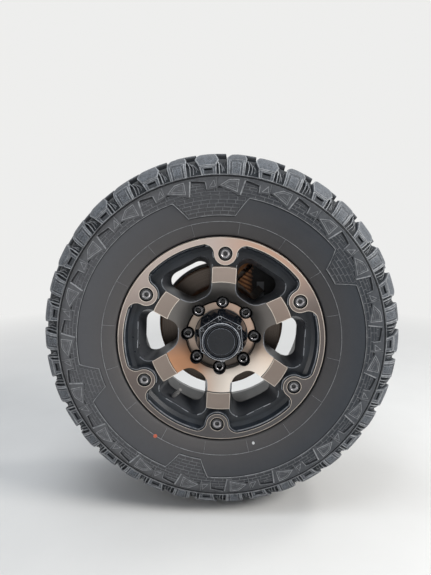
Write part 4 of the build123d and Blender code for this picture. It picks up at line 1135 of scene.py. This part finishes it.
# node, material, bevel width in mm, or 0 where the edges stay as modelled
carried = [
    ("wheel_rim", wheel_metal, 0.0),
    ("centre_cap", cap_black, 0.0),
    ("valve_stem", valve_grey, 0.0),
    ("hub", rusty_iron, 0.8),
    ("wheel_studs", bare_steel, 0.5),
    ("brake_disc", make_disc(), 0.6),
    ("bearing_housing", cast_iron, 1.2),
    ("splash_shield", shield_steel, 0.5),
    ("knuckle", rusty_iron, 3.0),
    ("caliper_bracket", bracket_rust, 1.5),
    ("caliper", make_caliper(), 2.0),
    ("caliper_pistons", bare_steel, 0.6),
    ("guide_pins", bare_steel, 0.5),
    ("brake_pad_outer", lining, 0.6),
    ("brake_pad_inner", lining, 0.6),
]
for name, material, width in carried:
    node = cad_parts[name]
    node.data.materials.clear()
    node.data.materials.append(material)
    if not width:
        continue
    weld = node.modifiers.new("weld", "WELD")
    weld.merge_threshold = WELD
    bevel = node.modifiers.new("round", "BEVEL")
    bevel.width = width / 1000
    bevel.segments = 2
    bevel.limit_method = "ANGLE"
    bevel.angle_limit = radians(ROUND_ANGLE)
    bevel.harden_normals = True
    bevel.use_clamp_overlap = True

# least and greatest depth, least and greatest radius of an edge, and the width of its strip
machined_rules = [(-0.5, 0.6, 175, 240, 1.3), (-0.5, 0.6, 240, 247, 1.2), (12, 24.5, 134, 177, 1.5)]
highlight_rules = [(3.5, 6.5, 170, 236, 1.8), (24.6, 75, 100, 202, 1.9)]
cap_rules = [(-60, 66, 22, 44.0, 0.6)]
cap_side_rules = [(-60, 66, 44.0, 60, 1.0)]
# painted highlights along the edges: bright on the bronze, grey on the black paint and on the cap
bronze_highlight = make_edge("bronze_edge_highlight", (0.66, 0.58, 0.50), (0.84, 0.76, 0.68), 1.0)
cap_side = make_edge("cap_side_highlight", (0.30, 0.32, 0.36), (0.55, 0.57, 0.61), 0.2)
black_highlight = make_edge("black_edge_highlight", (0.16, 0.175, 0.20), (0.40, 0.415, 0.44), 0.3)
cap_edge = make_edge("cap_edge_highlight", (0.07, 0.08, 0.10), (0.20, 0.215, 0.25), 0.2)
# name, node, which edges, finish, slot, then the smallest angle of an edge, how far its face looks to the
# front, and whether edges of walls that look down are left out
edge_pieces = [
    ("wheel_edges_machined", "wheel_rim", machined_rules, bronze_highlight, "wheel_bronze", 15.0, 0.55, False),
    ("wheel_edges_rubbed", "wheel_rim", highlight_rules, black_highlight, "wheel_bronze", 11.0, 0.30, True),
    ("cap_edges_bright", "centre_cap", cap_rules, cap_edge, "cap_black", 40.0, 0.55, False),
    ("cap_edges_side", "centre_cap", cap_side_rules, cap_side, "cap_black", 40.0, 0.55, False),
]
for name, node, rules, material, slot, *choice in edge_pieces:
    piece = edge_lines(name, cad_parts[node], rules, *choice)
    piece.data.materials.append(material)
    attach(piece, "wheel")

# Stage, light and camera
PALE = (0.90, 0.90, 0.89)
PALE_STRENGTH = 0.95
# Distances in metres between which the floor fades into the background
FADE_START = 1.1
FADE_END = 2.6
# The photograph's camera, fitted to the wheel: focal length and picture height in pixels, sensor in mm
FOCAL_PIXELS = 447
PICTURE_HEIGHT = 575
SENSOR = 36
# Its place in metres, and how far it looks down and is turned in degrees
CAMERA_PLACE = (-0.002, -1.277, 0.280)
CAMERA_DOWN = 8.48
CAMERA_TURN = 0.63


def background_rays(nodes):
    """One for a ray that shows the background: straight to the camera, mirrored or through glass."""
    path = nodes.new("ShaderNodeLightPath")
    total = path.outputs["Is Camera Ray"]
    for kind in ("Is Glossy Ray", "Is Transmission Ray"):
        most = nodes.new("ShaderNodeMath")
        most.operation = "MAXIMUM"
        feed(most.inputs[0], total)
        feed(most.inputs[1], path.outputs[kind])
        total = most.outputs[0]
    return total


def blend(nodes, share, first, second, output):
    """Shows one shader or another by their share."""
    mix = nodes.new("ShaderNodeMixShader")
    for socket, value in zip(mix.inputs, (share, first.outputs[0], second.outputs[0])):
        feed(socket, value)
    feed(nodes[output].inputs["Surface"], mix.outputs[0])


def make_stage():
    """Pale floor that fades into the background far from the object."""
    half = 12.0
    points = [(-half, -half, FLOOR_Z), (half, -half, FLOOR_Z), (half, half, FLOOR_Z), (-half, half, FLOOR_Z)]
    floor = new_piece("floor", points, [(0, 1, 2, 3)], 30)
    f = Finish("floor_pale")
    f.color(f.mix(f.span(f.noise(3.0, 4.0), 0.3, 0.7), (0.69, 0.69, 0.685), (0.73, 0.73, 0.725)))
    f.set(Roughness=0.85)
    x, y, z = f.split(f.place)
    square = f.math("ADD", f.times(x, x), f.times(y, y))
    far = f.span(f.math("SQRT", square), FADE_START, FADE_END)
    bright_reflection = f.nodes.new("ShaderNodeEmission")
    fill(bright_reflection, Color=PALE, Strength=PALE_STRENGTH)
    blend(f.nodes, f.times(far, background_rays(f.nodes)), f.shader, bright_reflection, "Material Output")
    floor.data.materials.append(f.material)


def make_world():
    """Pale to the camera and in reflections, softer as a light."""
    world = bpy.data.worlds.new("studio")
    bpy.context.scene.world = world
    world.use_nodes = True
    nodes = world.node_tree.nodes
    light = nodes["Background"]
    fill(light, Color=(0.86, 0.92, 1.0), Strength=0.34)
    pale = nodes.new("ShaderNodeBackground")
    fill(pale, Color=PALE, Strength=PALE_STRENGTH)
    blend(nodes, background_rays(nodes), light, pale, "World Output")


def make_light(name, place, aim, size, power, color):
    """A square soft light."""
    data = bpy.data.lights.new(name, "AREA")
    data.shape = "SQUARE"
    data.size = size
    data.energy = power
    data.color = color
    lamp = bpy.data.objects.new(name, data)
    lamp.location = place
    lamp.rotation_euler = (Vector(aim) - Vector(place)).to_track_quat("-Z", "Y").to_euler()
    bpy.context.scene.collection.objects.link(lamp)


def make_camera():
    """The photograph's viewpoint."""
    data = bpy.data.cameras.new("camera")
    data.lens = FOCAL_PIXELS / PICTURE_HEIGHT * SENSOR
    data.sensor_width = SENSOR
    camera = bpy.data.objects.new("camera", data)
    camera.location = CAMERA_PLACE
    camera.rotation_euler = (radians(90 - CAMERA_DOWN), 0, radians(CAMERA_TURN))
    data.clip_start = 0.01
    data.clip_end = 60
    bpy.context.scene.collection.objects.link(camera)
    bpy.context.scene.camera = camera


make_stage()
make_world()
# name, place, aim, side in metres, watts, colour
lights = [
    ("key", (2.4, -1.2, 1.5), (0, -0.1, 0), 1.0, 72, (1.0, 0.97, 0.92)),
    ("sun", (2.0, 0.3, 2.3), (0.2, -0.1, 0.3), 0.5, 20, (1.0, 0.97, 0.92)),
    ("top", (-0.5, -0.6, 2.6), (0, -0.1, 0), 1.6, 36, (0.93, 0.97, 1.0)),
    ("fill", (-2.4, -1.6, 0.3), (0, -0.1, 0), 1.4, 16, (1.0, 0.94, 0.88)),
    ("back", (0.0, 4.6, 6.0), (0.0, 4.6, 0.0), 8.0, 50, (1.0, 1.0, 1.0)),
]
for light in lights:
    make_light(*light)
make_camera()

bpy.context.scene.view_settings.view_transform = "Standard"
